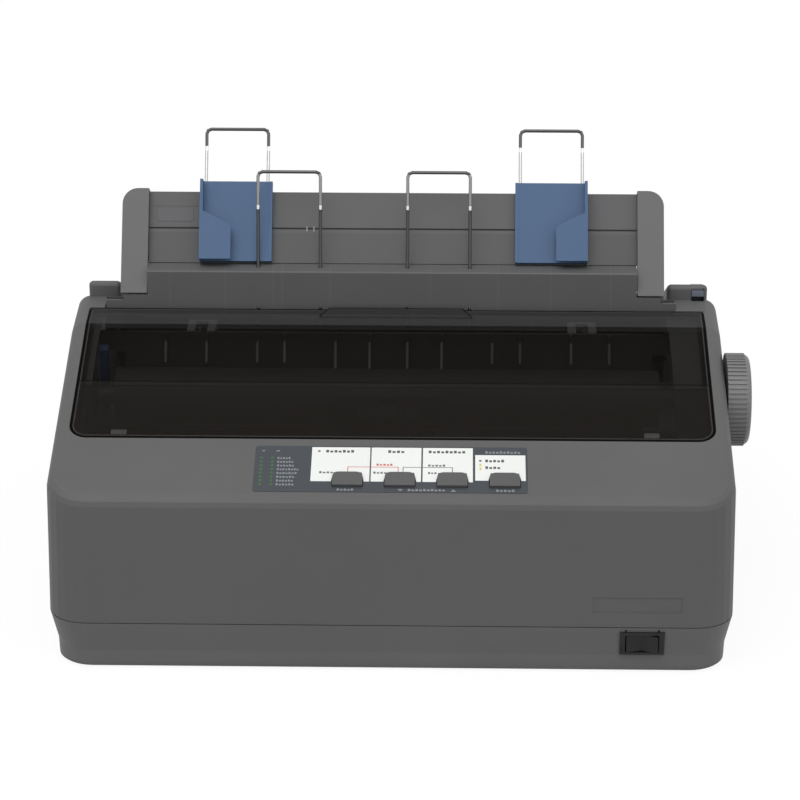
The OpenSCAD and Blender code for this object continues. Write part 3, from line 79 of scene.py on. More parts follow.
def math_node(tree, operation, *values):
    """The output of a math node; each input is a socket or a number."""
    node = new_node(tree, "ShaderNodeMath", operation=operation)
    for value, socket in zip(values, node.inputs):
        feed(tree, value, socket)
    return node.outputs[0]


def mixed(tree, factor, first, second):
    """A mix of two shaders; the factor is a socket or a number."""
    node = new_node(tree, "ShaderNodeMixShader")
    feed(tree, factor, node.inputs[0])
    tree.links.new(first.outputs[0], node.inputs[1])
    tree.links.new(second.outputs[0], node.inputs[2])
    return node


def background_ray(tree):
    """1 for a ray that should see the white background."""
    rays = new_node(tree, "ShaderNodeLightPath").outputs
    seen = math_node(tree, "MAXIMUM", rays["Is Camera Ray"], rays["Is Glossy Ray"])
    return math_node(tree, "MAXIMUM", seen, rays["Is Transmission Ray"])


world = bpy.data.worlds.new("studio")
scene.world = world
world.use_nodes = True
tree = world.node_tree
tree.nodes.clear()
sky = new_node(tree, "ShaderNodeBackground", Color=(1, 1, 1, 1), Strength=0.46)
white = new_node(tree, "ShaderNodeBackground", Color=(1, 1, 1, 1), Strength=1.0)
out = new_node(tree, "ShaderNodeOutputWorld")
tree.links.new(mixed(tree, background_ray(tree), sky, white).outputs[0], out.inputs[0])

for name, elevation, azimuth, strength, angle in (
        ("key", 62, -25, 1.35, 50), ("fill", 38, 40, 0.45, 60)):
    lamp = bpy.data.objects.new(name, bpy.data.lights.new(name, "SUN"))
    lamp.data.energy = strength
    lamp.data.angle = math.radians(angle)
    lamp.rotation_euler = (math.radians(90 - elevation), 0, math.radians(azimuth))
    scene.collection.objects.link(lamp)


def mesh_object(name, points, faces, body=None, made=None, smooth=False):
    """A mesh from points and faces, placed in the row frame."""
    mesh = bpy.data.meshes.new(name)
    mesh.from_pydata([tuple(p) for p in points], [], faces)
    mesh.validate()
    obj = bpy.data.objects.new(name, mesh)
    scene.collection.objects.link(obj)
    if smooth:
        mesh.shade_smooth()
    if made:
        mesh.materials.append(made)
    if body:
        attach(obj, body)
    return obj


# The sweep, in metres: half its width, its front edge, where it starts to bend up,
# the bend's radius, its top, and how far it lies below the feet
SWEEP_HALF, SWEEP_FRONT, SWEEP_FLAT, SWEEP_BEND, SWEEP_TOP, SWEEP_DROP = 4, -4, 2.2, 1.2, 3.4, 0.0002
sweep = [(SWEEP_FRONT, 0), (SWEEP_FLAT, 0)]
for turn in range(15, 91, 15):
    sweep.append((SWEEP_FLAT + SWEEP_BEND * math.sin(math.radians(turn)),
                  SWEEP_BEND - SWEEP_BEND * math.cos(math.radians(turn))))
sweep.append((SWEEP_FLAT + SWEEP_BEND, SWEEP_TOP))
floor = mesh_object(
    "floor", [(x, y, z - SWEEP_DROP) for y, z in sweep for x in (-SWEEP_HALF, SWEEP_HALF)],
    [(2 * i, 2 * i + 1, 2 * i + 3, 2 * i + 2) for i in range(len(sweep) - 1)], smooth=True)
paper = bpy.data.materials.new("white_sweep")
paper.use_nodes = True
tree = paper.node_tree
tree.nodes.clear()
dull = new_node(tree, "ShaderNodeBsdfDiffuse", Color=(0.52, 0.52, 0.52, 1))
clean = new_node(tree, "ShaderNodeBsdfDiffuse", Color=(0.97, 0.97, 0.97, 1))
glow = new_node(tree, "ShaderNodeEmission", Color=(1, 1, 1, 1), Strength=1.02)
lit = mixed(tree, 0.9, clean, glow)
out = new_node(tree, "ShaderNodeOutputMaterial")
tree.links.new(mixed(tree, background_ray(tree), dull, lit).outputs[0], out.inputs[0])
floor.data.materials.append(paper)

# ---------------------------------------------------------------- case
# Two shells of dark grey moulded ABS that meet on a seam, with a fine spark texture.
# Corners are rubbed a little lighter and a trace of dust lies on the upward faces.


def group(name, inputs, outputs):
    """An empty node group for numbers: the tree, and its sockets in and out by name."""
    tree = bpy.data.node_groups.new(name, "ShaderNodeTree")
    for label, default in inputs.items():
        socket = tree.interface.new_socket(label, in_out="INPUT", socket_type="NodeSocketFloat")
        socket.default_value = default
    for label in outputs:
        tree.interface.new_socket(label, in_out="OUTPUT", socket_type="NodeSocketFloat")
    return tree, tree.nodes.new("NodeGroupInput").outputs, tree.nodes.new("NodeGroupOutput").inputs


def noise(tree, scale, detail, rough=0.5):
    """Noise laid out on the object; the scale is a socket or a number."""
    node = new_node(tree, "ShaderNodeTexNoise", Detail=detail, Roughness=rough)
    coord = new_node(tree, "ShaderNodeTexCoord")
    tree.links.new(coord.outputs["Object"], node.inputs["Vector"])
    feed(tree, scale, node.inputs["Scale"])
    return node.outputs[0]


def ramp(tree, value, start, end):
    """0 to 1 as the value goes from start to end, and flat beyond them."""
    node = new_node(tree, "ShaderNodeMapRange", clamp=True, From_Min=start, From_Max=end)
    tree.links.new(value, node.inputs["Value"])
    return node.outputs[0]


# Spark texture: a fine pebbled height and a slow change of tone
spark, given, result = group("spark_texture", {"Size": 0.0007}, ("Height", "Tone"))
per_metre = math_node(spark, "DIVIDE", 1.0, given["Size"])
spark.links.new(noise(spark, per_metre, 3.0, 0.65), result["Height"])
spark.links.new(noise(spark, 14.0, 4.0, 0.6), result["Tone"])

# Edge wear: where a rounded normal differs from the true one, broken up by noise
wear, given, result = group("edge_wear", {"Radius": 0.0006}, ("Mask",))
bevel = new_node(wear, "ShaderNodeBevel", samples=4)
geometry = new_node(wear, "ShaderNodeNewGeometry")
dot = new_node(wear, "ShaderNodeVectorMath", operation="DOT_PRODUCT")
wear.links.new(given["Radius"], bevel.inputs["Radius"])
wear.links.new(bevel.outputs[0], dot.inputs[0])
wear.links.new(geometry.outputs["Normal"], dot.inputs[1])
edge = ramp(wear, dot.outputs["Value"], 0.99, 0.8)
wear.links.new(math_node(wear, "MULTIPLY", edge, noise(wear, 90.0, 4.0)), result["Mask"])

# Dust: on faces that look up, in soft patches
dust, _, result = group("settled_dust", {}, ("Mask",))
geometry = new_node(dust, "ShaderNodeNewGeometry")
split = new_node(dust, "ShaderNodeSeparateXYZ")
dust.links.new(geometry.outputs["Normal"], split.inputs[0])
upward = ramp(dust, split.outputs["Z"], 0.55, 1.0)
dust.links.new(math_node(dust, "MULTIPLY", upward, noise(dust, 38.0, 6.0, 0.7)), result["Mask"])


def use_group(tree, source, **values):
    """A node that uses a group, with its inputs set."""
    node = tree.nodes.new("ShaderNodeGroup")
    node.node_tree = source
    for key, value in values.items():
        node.inputs[key].default_value = value
    return node


def blend_colour(tree, factor, low, high, amount=1.0):
    """Colour low turned into high by factor; either may be a socket or a colour."""
    node = new_node(tree, "ShaderNodeMix", data_type="RGBA")
    # a Mix node takes its colours at inputs 6 and 7, and gives one at output 2
    tree.links.new(math_node(tree, "MULTIPLY", factor, amount), node.inputs[0])
    feed(tree, low, node.inputs[6])
    feed(tree, high, node.inputs[7])
    return node.outputs[2]


def material(name):
    """An empty material with a Principled shader: (material, tree, shader)."""
    made = bpy.data.materials.new(name)
    made.use_nodes = True
    tree = made.node_tree
    shader = tree.nodes["Principled BSDF"]
    return made, tree, shader


def tinted(colour, factor):
    """The colour, lighter or darker by a factor."""
    return tuple(min(1, c * factor) for c in colour[:3]) + (1,)


def toned(tree, texture, colour, low, high):
    """The colour, from low to high times as light with the texture's change of tone."""
    return blend_colour(tree, texture.outputs["Tone"], tinted(colour, low), tinted(colour, high))


def roughened(tree, shader, value, low, high):
    """Roughness that goes from low to high with a texture."""
    span = new_node(tree, "ShaderNodeMapRange", To_Min=low, To_Max=high)
    tree.links.new(value, span.inputs["Value"])
    tree.links.new(span.outputs[0], shader.inputs["Roughness"])


def bumped(tree, shader, height, strength, distance):
    """Lets a height raise the surface; the distance is in metres."""
    bump = new_node(tree, "ShaderNodeBump", Strength=strength, Distance=distance)
    tree.links.new(height, bump.inputs["Height"])
    tree.links.new(bump.outputs[0], shader.inputs["Normal"])


# How much lighter a rubbed edge is, and how much of the dust's colour shows
RUBBED_LIGHTER = 1.9
DUST_SHARE = 0.35


def moulded(name, colour, rough=0.5, grain=0.0007, depth=0.10, worn=0.35, dusty=0.12,
            tone=0.10, wear_size=0.0006, pick=None):
    """Moulded plastic with spark texture, change of tone, rubbed edges and dust."""
    made, tree, shader = material(name)
    texture = use_group(tree, spark, Size=grain)
    base = toned(tree, texture, colour, 1 - tone, 1 + tone)
    if pick:
        base = pick(tree, base)
    rubbed = use_group(tree, wear, Radius=wear_size)
    base = blend_colour(tree, rubbed.outputs["Mask"], base, tinted(colour, RUBBED_LIGHTER), worn)
    settled = use_group(tree, dust)
    base = blend_colour(tree, settled.outputs["Mask"], base, srgb(170, 168, 162), dusty * DUST_SHARE)
    tree.links.new(base, shader.inputs["Base Color"])
    roughened(tree, shader, texture.outputs["Height"], rough - 0.06, rough + 0.08)
    bumped(tree, shader, texture.outputs["Height"], depth, 0.0003)
    shader.inputs["Specular IOR Level"].default_value = 0.35
    return made


def dress(made, *nodes, smooth=None):
    """Gives CAD nodes a material; smooth is the angle below which edges are shaded smooth."""
    for name in nodes:
        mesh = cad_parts[name].data
        mesh.materials.clear()
        mesh.materials.append(made)
        if smooth:
            mesh.shade_smooth()
            mesh.set_sharp_from_angle(angle=math.radians(smooth))


def position(tree):
    """X, Y and Z on the object, in metres."""
    coord = new_node(tree, "ShaderNodeTexCoord")
    split = new_node(tree, "ShaderNodeSeparateXYZ")
    tree.links.new(coord.outputs["Object"], split.inputs[0])
    return split.outputs["X"], split.outputs["Y"], split.outputs["Z"]


# In metres: how far the case's middle is left of the frame's, the front wall, and the
# height of the shoulder where the deck starts to slope up; then the deck's slope
SHIFT = 0.0064
FRONT = -0.1375
SHOULDER = 0.0963
SLOPE = math.radians(17.5)
# The cover's half width, its two edges, and its corners, which are larger at the front
COVER_HALF, COVER_FRONT, COVER_BACK = 0.1655, -0.0918, 0.0167
COVER_CORNER, FRONT_CORNER_EXTRA, FRONT_CORNER_ENDS = 0.003, 0.006, -0.04


def cover_distance(tree):
    """Distance outside the cover's outline, in plan; negative on the cover."""
    x, y, _ = position(tree)
    in_front = math_node(tree, "LESS_THAN", y, FRONT_CORNER_ENDS)
    radius = math_node(tree, "MULTIPLY_ADD", in_front, FRONT_CORNER_EXTRA, COVER_CORNER)
    across = math_node(tree, "ABSOLUTE", math_node(tree, "ADD", x, SHIFT))
    along = math_node(tree, "ABSOLUTE", math_node(tree, "SUBTRACT", y, (COVER_FRONT + COVER_BACK) / 2))
    a = math_node(tree, "ADD", math_node(tree, "SUBTRACT", across, COVER_HALF), radius)
    b = math_node(tree, "ADD", math_node(tree, "SUBTRACT", along, (COVER_BACK - COVER_FRONT) / 2), radius)
    a2 = math_node(tree, "POWER", math_node(tree, "MAXIMUM", a, 0.0), 2.0)
    b2 = math_node(tree, "POWER", math_node(tree, "MAXIMUM", b, 0.0), 2.0)
    outer = math_node(tree, "SQRT", math_node(tree, "ADD", a2, b2))
    inner = math_node(tree, "MINIMUM", math_node(tree, "MAXIMUM", a, b), 0.0)
    return math_node(tree, "SUBTRACT", math_node(tree, "ADD", outer, inner), radius)


def between(tree, value, low, high):
    """1 where the value lies between two limits."""
    return math_node(tree, "MULTIPLY", math_node(tree, "GREATER_THAN", value, low),
                     math_node(tree, "LESS_THAN", value, high))


# The recess round the cover, which gets painted shade, as distances from the cover's outline, and its lowest
# height
RECESS_INNER, RECESS_OUTER, RECESS_LOW = -0.004, 0.00065, 0.100


def painted_recess_shade(tree, base):
    """Case colour with painted shade in the narrow recess round the cover."""
    ring = between(tree, cover_distance(tree), RECESS_INNER, RECESS_OUTER)
    high = math_node(tree, "GREATER_THAN", position(tree)[2], RECESS_LOW)
    return blend_colour(tree, math_node(tree, "MULTIPLY", ring, high), base, srgb(20, 19, 18), 0.92)


case_plastic = moulded("case_plastic", srgb(92, 92, 92), rough=0.55, grain=0.0009, depth=0.16,
                       pick=painted_recess_shade)
lower_plastic = moulded("lower_plastic", srgb(100, 100, 100), rough=0.55, grain=0.0009, depth=0.16)
dress(case_plastic, "upper_case", smooth=42)
dress(lower_plastic, "lower_case", smooth=42)


def rounded(x0, y0, x1, y1, r, steps=5):
    """A rectangle with rounded corners."""
    ring = []
    corners = ((x1 - r, y1 - r, 0), (x0 + r, y1 - r, 90), (x0 + r, y0 + r, 180), (x1 - r, y0 + r, 270))
    for cx, cy, start in corners:
        for i in range(steps + 1):
            a = math.radians(start + 90 * i / steps)
            ring.append((cx + r * math.cos(a), cy + r * math.sin(a)))
    return ring


# The skirt's rounded foot, which runs down closer to the desk than the solid does.
# In millimetres: the skirt's half width and depth, its corners (smaller where the foot
# turns under), and the foot's profile as height above the desk and distance inside
SKIRT_HALF_X, SKIRT_HALF_Y = 175.2, 137.5
SKIRT_CORNER, FOOT_CORNER, FOOT_TURN = 20, 18, 3.1
FOOT_PROFILE = [(3.05, 12), (0.7, 12), (0.7, 5.6), (1.1, 4.6), (2.0, 3.9), (4.0, 3.55), (8.0, 3.45),
                (10.4, 3.33)]
rings = []
for height, inside in FOOT_PROFILE:
    half_x, half_y = SKIRT_HALF_X - inside, SKIRT_HALF_Y - inside
    corner = SKIRT_CORNER if height > FOOT_TURN else FOOT_CORNER
    rings.append([(x / 1000 - SHIFT, y / 1000, height / 1000)
                  for x, y in rounded(-half_x, -half_y, half_x, half_y, corner, steps=10)])
count = len(rings[0])
faces = [(a * count + i, a * count + (i + 1) % count, (a + 1) * count + (i + 1) % count, (a + 1) * count + i)
         for a in range(len(rings) - 1) for i in range(count)]
mesh_object("skirt_foot", sum(rings, []), faces, "body", lower_plastic, smooth=True)

# ---------------------------------------------------------------- feet and frame
# Soft black rubber feet under the corners. The base frame, side frames and rail are
# pressed from zinc plated sheet steel and held by screws with a cross slot.


def rubber(name, colour, rough=0.85):
    """Soft rubber with a fine grain and dust."""
    made, tree, shader = material(name)
    texture = use_group(tree, spark, Size=0.0004)
    base = toned(tree, texture, colour, 0.8, 1.25)
    settled = use_group(tree, dust)
    base = blend_colour(tree, settled.outputs["Mask"], base, srgb(120, 118, 112), 0.15)
    tree.links.new(base, shader.inputs["Base Color"])
    shader.inputs["Roughness"].default_value = rough
    bumped(tree, shader, texture.outputs["Height"], 0.2, 0.0002)
    return made


def metal(name, colour, rough=0.32, stretch=(1, 60, 60), streak=0.25, worn=0.2, pick=None):
    """Metal with fine streaks along one axis and duller patches."""
    made, tree, shader = material(name)
    coord = new_node(tree, "ShaderNodeTexCoord")
    place = new_node(tree, "ShaderNodeMapping", Scale=tuple(40.0 * s for s in stretch))
    tree.links.new(coord.outputs["Object"], place.inputs["Vector"])
    streaks = new_node(tree, "ShaderNodeTexNoise", Scale=1.0, Detail=4.0, Roughness=0.6)
    tree.links.new(place.outputs[0], streaks.inputs["Vector"])
    base = blend_colour(tree, streaks.outputs[0], tinted(colour, 1 - streak), tinted(colour, 1 + streak))
    patches = use_group(tree, spark, Size=0.004)
    base = blend_colour(tree, patches.outputs["Tone"], base, tinted(colour, 0.6), worn)
    if pick:
        base = pick(tree, base)
    tree.links.new(base, shader.inputs["Base Color"])
    shader.inputs["Metallic"].default_value = 1.0
    roughened(tree, shader, streaks.outputs[0], rough * 0.7, rough * 1.4)
    return made


foot_rubber = rubber("foot_rubber", srgb(38, 38, 39))
zinc_steel = metal("zinc_steel", srgb(168, 170, 172), rough=0.38)
dress(foot_rubber, "rubber_feet")
dress(zinc_steel, "frame_screws", "base_frame", "side_frame_left", "side_frame_right",
      "carriage_rail", smooth=30)

# ---------------------------------------------------------------- control panel
# A dark blue-grey film glued into the deck. It is printed with white fields round the
# keys, rows of short bars, arrows, and the lines that join keys pressed together.


def deck_point(x, s, n=0.0):
    """Row frame point from millimetres across, up the slope and out of the deck."""
    return (x / 1000 - SHIFT, FRONT + (s * math.cos(SLOPE) - n * math.sin(SLOPE)) / 1000,
            SHOULDER + (s * math.sin(SLOPE) + n * math.cos(SLOPE)) / 1000)


def plate(name, outlines, place, low, high, body, made, bevel=0.0):
    """Flat pieces of one thickness: each outline is a ring of points in the plane."""
    points, faces = [], []
    for ring in outlines:
        n, start = len(ring), len(points)
        for level in (low, high):
            points += [place(p[0], p[1], level) for p in ring]
        faces.append(tuple(start + n + i for i in range(n)))
        faces.append(tuple(start + n - 1 - i for i in range(n)))
        faces += [(start + i, start + (i + 1) % n, start + n + (i + 1) % n, start + n + i)
                  for i in range(n)]
    obj = mesh_object(name, points, faces, body, made)
    if bevel:
        soft = obj.modifiers.new("soft_edge", "BEVEL")
        soft.width = bevel
        soft.segments = 2
    return obj


def bar(x0, s0, x1, s1):
    """A rectangle from two of its corners."""
    return [(x0, s0), (x1, s0), (x1, s1), (x0, s1)]


def film(name, colour):
    """Printed film: flat ink with a slight orange peel."""
    made, tree, shader = material(name)
    texture = use_group(tree, spark, Size=0.0012)
    tree.links.new(toned(tree, texture, colour, 0.95, 1.04), shader.inputs["Base Color"])
    shader.inputs["Roughness"].default_value = 0.42
    shader.inputs["Specular IOR Level"].default_value = 0.4
    bumped(tree, shader, texture.outputs["Height"], 0.05, 0.0002)
    return made


dress(film("overlay_film", srgb(62, 67, 73)), "panel_overlay")
white_ink = film("white_ink", srgb(246, 248, 245))
grey_ink = film("grey_ink", srgb(138, 141, 146))
black_ink = film("black_ink", srgb(88, 86, 90))
red_ink = film("red_ink", srgb(206, 88, 84))
yellow_ink = film("yellow_ink", srgb(226, 212, 104))
# In millimetres: where the ink starts over the deck, the white fields' thickness, and
# the thickness of the inks on film and fields
INK, INK_LAYER, INK_TOP = 0.15, 0.05, 0.04
# The keys' middles across, and the notch that a field leaves for a key: half its width,
# the slant of its sides and its top
BUTTON_X = [17.9 + (i - 1.5) * 26.4 for i in range(4)]
NOTCH_HALF, NOTCH_SLANT, NOTCH_TOP = 8.3, 1.2, 21.6
FIELD_LOW, FIELD_HIGH = 14.6, 40.9


def field(x0, s0, x1, s1, key_x):
    """A white field with a notch at its lower edge for its key."""
    left, right = max(x0, key_x - NOTCH_HALF), min(x1, key_x + NOTCH_HALF)
    lower = [(x0, s0), (left, s0)] if left > x0 else [(x0, NOTCH_TOP)]
    lower += [(left + (NOTCH_SLANT if left > x0 else 0), NOTCH_TOP),
              (right - (NOTCH_SLANT if right < x1 else 0), NOTCH_TOP)]
    if right < x1:
        lower += [(right, s0), (x1, s0)]
    return [(x0, s1)] + lower + [(x1, s1)]


plate("legend_fields",
      [field(-40.3, FIELD_LOW, -10.7, FIELD_HIGH, BUTTON_X[0]),
       field(-10.0, FIELD_LOW, 15.3, FIELD_HIGH, BUTTON_X[1]),
       field(16.1, FIELD_LOW, 41.4, FIELD_HIGH, BUTTON_X[2]),
       field(42.6, 15.9, 68.0, 35.6, BUTTON_X[3])],
      deck_point, INK, INK + INK_LAYER, "body", white_ink)

BAR_HEIGHTS = [1.0, 0.72, 0.9, 0.72, 1.0, 0.8]
BAR_SHARE = 0.68


def dashes(x0, x1, s_mid, height=1.5, pitch=1.9):
    """Short bars of changing height in a row."""
    count = max(2, round((x1 - x0) / pitch))
    step = (x1 - x0) / count
    low = s_mid - height / 2
    return [bar(x0 + i * step, low, x0 + i * step + step * BAR_SHARE,
                low + height * BAR_HEIGHTS[i % len(BAR_HEIGHTS)]) for i in range(count)]


def layer(name, outlines, made, level=0):
    """Ink on the film, or on the white fields."""
    low = INK + INK_LAYER * level
    plate(name, outlines, deck_point, low, low + INK_TOP, "body", made)


layer("legend_dark", dashes(-33.1, -18.3, 37.8, 2.0, 2.2) + dashes(-1.6, 7.3, 37.8, 2.0, 2.2)
      + dashes(19.0, 38.2, 37.8, 2.0, 2.2) + dashes(47.7, 57.8, 31.1, 2.0, 2.2)
      + dashes(47.7, 55.8, 25.9, 2.0, 2.2)
      + [bar(-37.2, 37.2, -36.0, 38.4), bar(44.6, 30.5, 45.8, 31.7)], black_ink, 1)
arrows_right = [[(-27.6, 20.6), (-26.4, 21.4), (-27.6, 22.2)], [(-0.8, 20.6), (0.4, 21.4), (-0.8, 22.2)]]
dark_link = [bar(6.0, 25.5, 31.3, 25.9), bar(6.0, 20.4, 6.4, 25.9), bar(30.9, 20.4, 31.3, 25.9)]
layer("legend_small", dashes(-36.1, -28.5, 21.4) + dashes(-8.8, -1.6, 21.4) + dashes(18.8, 28.0, 27.2)
      + dashes(18.8, 23.6, 21.4) + arrows_right + dark_link, film("fine_ink", srgb(112, 110, 116)), 1)
red_link = [bar(-21.9, 25.5, 3.9, 25.9), bar(-21.9, 20.4, -21.5, 25.9), bar(3.5, 20.4, 3.9, 25.9)]
layer("legend_red", dashes(-7.3, 1.3, 27.6) + red_link, red_ink, 1)
layer("legend_yellow", [bar(44.7, 23.8, 45.7, 26.0), bar(44.7, 26.8, 45.7, 29.0)], yellow_ink, 1)
# beside the lamps stand eight rows, in millimetres long, about the lamps' middle height
LAMP_ROWS, ROW_LEFT, ROW_MIDDLE, ROW_PITCH = [9.5, 9, 9.6, 10.6, 11.4, 9, 8.6, 7], -57.6, 22.3, 2.9
lamp_rows = sum([dashes(ROW_LEFT, ROW_LEFT + long, ROW_MIDDLE + (i - 3.5) * ROW_PITCH - 0.2, 1.5, 1.5)
                 for i, long in enumerate(LAMP_ROWS)], [])
arrows_up_down = [[(5.0, 7.4), (6.4, 9.0), (3.6, 9.0)], [(30.2, 7.4), (33.0, 7.4), (31.6, 9.0)]]
layer("legend_pale", lamp_rows + dashes(47.7, 66.0, 37.8, 1.7) + dashes(-26.8, -18.0, 8.4, 1.6)
      + dashes(8.8, 28.0, 8.4, 1.6) + dashes(53.0, 62.8, 8.4, 1.6)
      + [bar(-58.4, 37.4, -56.6, 38.2), bar(-65.6, 37.4, -64.2, 38.2)] + arrows_up_down, grey_ink)

# ---------------------------------------------------------------- lamps and control board
# Two columns of small moulded lamps show through the film. Behind it lies a board of
# green glass fibre, screwed under the deck, which carries the key switches.


def glossy(name, colour, rough=0.3, specular=0.5):
    """Smooth plastic with a slow change of tone."""
    made, tree, shader = material(name)
    texture = use_group(tree, spark, Size=0.003)
    tree.links.new(toned(tree, texture, colour, 0.9, 1.12), shader.inputs["Base Color"])
    shader.inputs["Roughness"].default_value = rough
    shader.inputs["Specular IOR Level"].default_value = specular
    return made


def cells(tree, scale, **values):
    """The distance in a pattern of cells laid out on the object."""
    coord = new_node(tree, "ShaderNodeTexCoord")
    node = new_node(tree, "ShaderNodeTexVoronoi", Scale=scale, **values)
    tree.links.new(coord.outputs["Object"], node.inputs["Vector"])
    return node.outputs["Distance"]


def board_finish(name, level):
    """Green board with tracks below a height, in metres, and dark parts above it."""
    made, tree, shader = material(name)
    tracks = math_node(tree, "LESS_THAN", cells(tree, 260.0, feature="DISTANCE_TO_EDGE"), 0.06)
    green = blend_colour(tree, tracks, srgb(30, 84, 48), srgb(62, 118, 72), 0.8)
    parts = blend_colour(tree, cells(tree, 38.0), srgb(30, 30, 32), srgb(84, 84, 88), 0.8)
    above = math_node(tree, "GREATER_THAN", position(tree)[2], level)
    tree.links.new(blend_colour(tree, above, green, parts), shader.inputs["Base Color"])
    shader.inputs["Roughness"].default_value = 0.4
    return made


# A height over every part, in metres: the control board is green all over
OVER_ALL = 0.2
dress(glossy("lamp_green", srgb(58, 100, 52)), "led_lenses")
dress(board_finish("control_board_finish", OVER_ALL), "control_board")

# ---------------------------------------------------------------- buttons
# Four moulded keys with rounded shoulders, a shade lighter than the film. Each slides
# square to the deck in its hole and presses a switch on the control board.
key_plastic = moulded("key_plastic", srgb(86, 86, 87), rough=0.45, grain=0.0005, depth=0.08, worn=0.3)
dress(key_plastic, "button_1", "button_2", "button_3", "button_4", smooth=30)

# ---------------------------------------------------------------- power switch
# A moulded rocker on a pin in a black bezel that is snapped into the skirt. It has a
# round mark on one side and a bar on the other.
bezel_black = moulded("bezel_black", srgb(16, 15, 16), rough=0.5, grain=0.0006, depth=0.06, worn=0.4,
                      dusty=0.0)
rocker_black = moulded("rocker_black", srgb(10, 9, 10), rough=0.5, grain=0.0006, depth=0.03, worn=0.4,
                       dusty=0.0)
dress(bezel_black, "switch_bezel")
dress(rocker_black, "switch_rocker", smooth=30)

# ---------------------------------------------------------------- sockets
# A power inlet of black nylon set in the back wall, and plated steel shells round the
# two data sockets, which stand on the main board.
socket_black = moulded("socket_black", srgb(34, 34, 35), rough=0.5, grain=0.0006, worn=0.3)
plated = metal("plated_shell", srgb(188, 190, 192), rough=0.28, stretch=(3, 3, 3), streak=0.08)
dress(socket_black, "power_inlet")
dress(plated, "parallel_port", "usb_port")

# ---------------------------------------------------------------- boards
# The main board and the power supply are green glass fibre boards on posts in the lower
# case. Their parts stand above the boards' faces.
BOARD_FACE = 0.0147
dress(board_finish("main_board_finish", BOARD_FACE), "main_board")
dress(board_finish("supply_finish", BOARD_FACE), "power_supply")

# ---------------------------------------------------------------- shafts, bushes and gears
# A ground steel shaft carries the carriage. The platen's and the tractors' shafts are
# blued steel, gears and pulleys natural nylon, bushes and pin wheels black nylon.
ground_steel = metal("ground_steel", srgb(196, 198, 200), rough=0.2, stretch=(60, 2, 2), streak=0.1,
                     worn=0.15)
nylon = moulded("natural_nylon", srgb(214, 208, 190), rough=0.45, grain=0.0008, depth=0.05, worn=0.1,
                tone=0.05)
blued_steel = metal("blued_steel", srgb(92, 93, 96), rough=0.45, stretch=(60, 2, 2), streak=0.1)
black_nylon = moulded("black_nylon", srgb(60, 60, 60), rough=0.5, grain=0.0008, depth=0.05, worn=0.3)
dress(ground_steel, "carriage_shaft", smooth=30)
dress(blued_steel, "tractor_rod", "tractor_shaft", "platen_shaft", smooth=30)
dress(nylon, "platen_gear", "idler_gear", "idler_pulley", "drive_pulley", smooth=30)
dress(black_nylon, "platen_bushes", "sprocket_left", "sprocket_right", smooth=30)

# ---------------------------------------------------------------- motors, belt and pinion
# Plated steel motor cans screwed to the frame, a turned brass pinion on the feed motor
# and a toothed black rubber belt that pulls the carriage.
can_steel = metal("can_steel", srgb(140, 142, 145), rough=0.35, stretch=(4, 4, 4), streak=0.12)
pinion_brass = metal("pinion_brass", srgb(206, 172, 96), rough=0.25, stretch=(30, 3, 3), streak=0.1)
dress(can_steel, "carriage_motor", "feed_motor", smooth=30)
dress(pinion_brass, "motor_pinion", smooth=30)
dress(rubber("belt_rubber", srgb(30, 30, 31), rough=0.7), "timing_belt", smooth=30)

# ---------------------------------------------------------------- paper path
# A black moulded chute lies under the platen. The ribbed eject guide behind it is the
# one that shows through the cover.
path_black = moulded("path_black", srgb(33, 32, 32), rough=0.6, depth=0.03, worn=0.25, tone=0.05)
rib_black = moulded("rib_black", srgb(38, 36, 35), rough=0.6, depth=0.03, worn=1.0, dusty=0.2, tone=0.05)
dress(path_black, "paper_chute", smooth=30)
dress(rib_black, "eject_guide", smooth=30)
# The ribs' front edges carry painted highlights, thin light strips laid on them. In
# millimetres: the ribs' places across and how far their edges stand to the left, and the foot,
# run and rise of the slope, of which the highlighted part is a share; the middle ribs are highlighted from
# lower down
RIBS = [-121, -99, -71.6, -56.9, -29.4, -11, 9.3, 27.8, 55, 70, 97.5, 118]
RIB_LEFT, RIB_FOOT_Y, RIB_FOOT_Z, RIB_RUN, RIB_RISE = 3, -5, 107, 11.3, 23.02
HIGHLIGHT_LOW, HIGHLIGHT_LOW_MIDDLE, HIGHLIGHT_HIGH = 0.42, 0.1, 0.86
EDGE_RING = ((-0.62, 0.1), (-0.62, -0.15), (0.62, -0.15), (0.62, 0.1))
points, faces = [], []
for i, x in enumerate(RIBS):
    n = len(points)
    for part in (HIGHLIGHT_LOW_MIDDLE if 3 < i < 8 else HIGHLIGHT_LOW, HIGHLIGHT_HIGH):
        y, z = RIB_FOOT_Y + RIB_RUN * part, RIB_FOOT_Z + RIB_RISE * part
        points += [((x - RIB_LEFT + dx) / 1000 - SHIFT, (y + dy) / 1000, (z - dy * 0.5) / 1000)
                   for dx, dy in EDGE_RING]
    faces += [(n + k, n + (k + 1) % 4, n + 4 + (k + 1) % 4, n + 4 + k) for k in range(4)]
    faces += [(n + 3, n + 2, n + 1, n), (n + 4, n + 5, n + 6, n + 7)]
rib_highlight_plastic = moulded("rib_highlight_plastic", srgb(138, 136, 132), rough=0.4, worn=0.0, tone=0.4)
mesh_object("painted_rib_highlights", points, faces, "body", rib_highlight_plastic)

# ---------------------------------------------------------------- platen
# A black rubber roller, ground round on its steel shaft, with the very fine lines that
# the stone leaves.
made, tree, shader = material("platen_rubber")
coord = new_node(tree, "ShaderNodeTexCoord")
ground_lines = new_node(tree, "ShaderNodeTexWave", Scale=900.0, Distortion=1.5, Detail=2.0,
                        bands_direction="X")
tree.links.new(coord.outputs["Object"], ground_lines.inputs["Vector"])
base = blend_colour(tree, ground_lines.outputs["Fac"], srgb(50, 49, 48), srgb(58, 57, 55))
tree.links.new(base, shader.inputs["Base Color"])
shader.inputs["Roughness"].default_value = 0.6
bumped(tree, shader, ground_lines.outputs["Fac"], 0.1, 0.0001)
dress(made, "platen_roller", smooth=30)

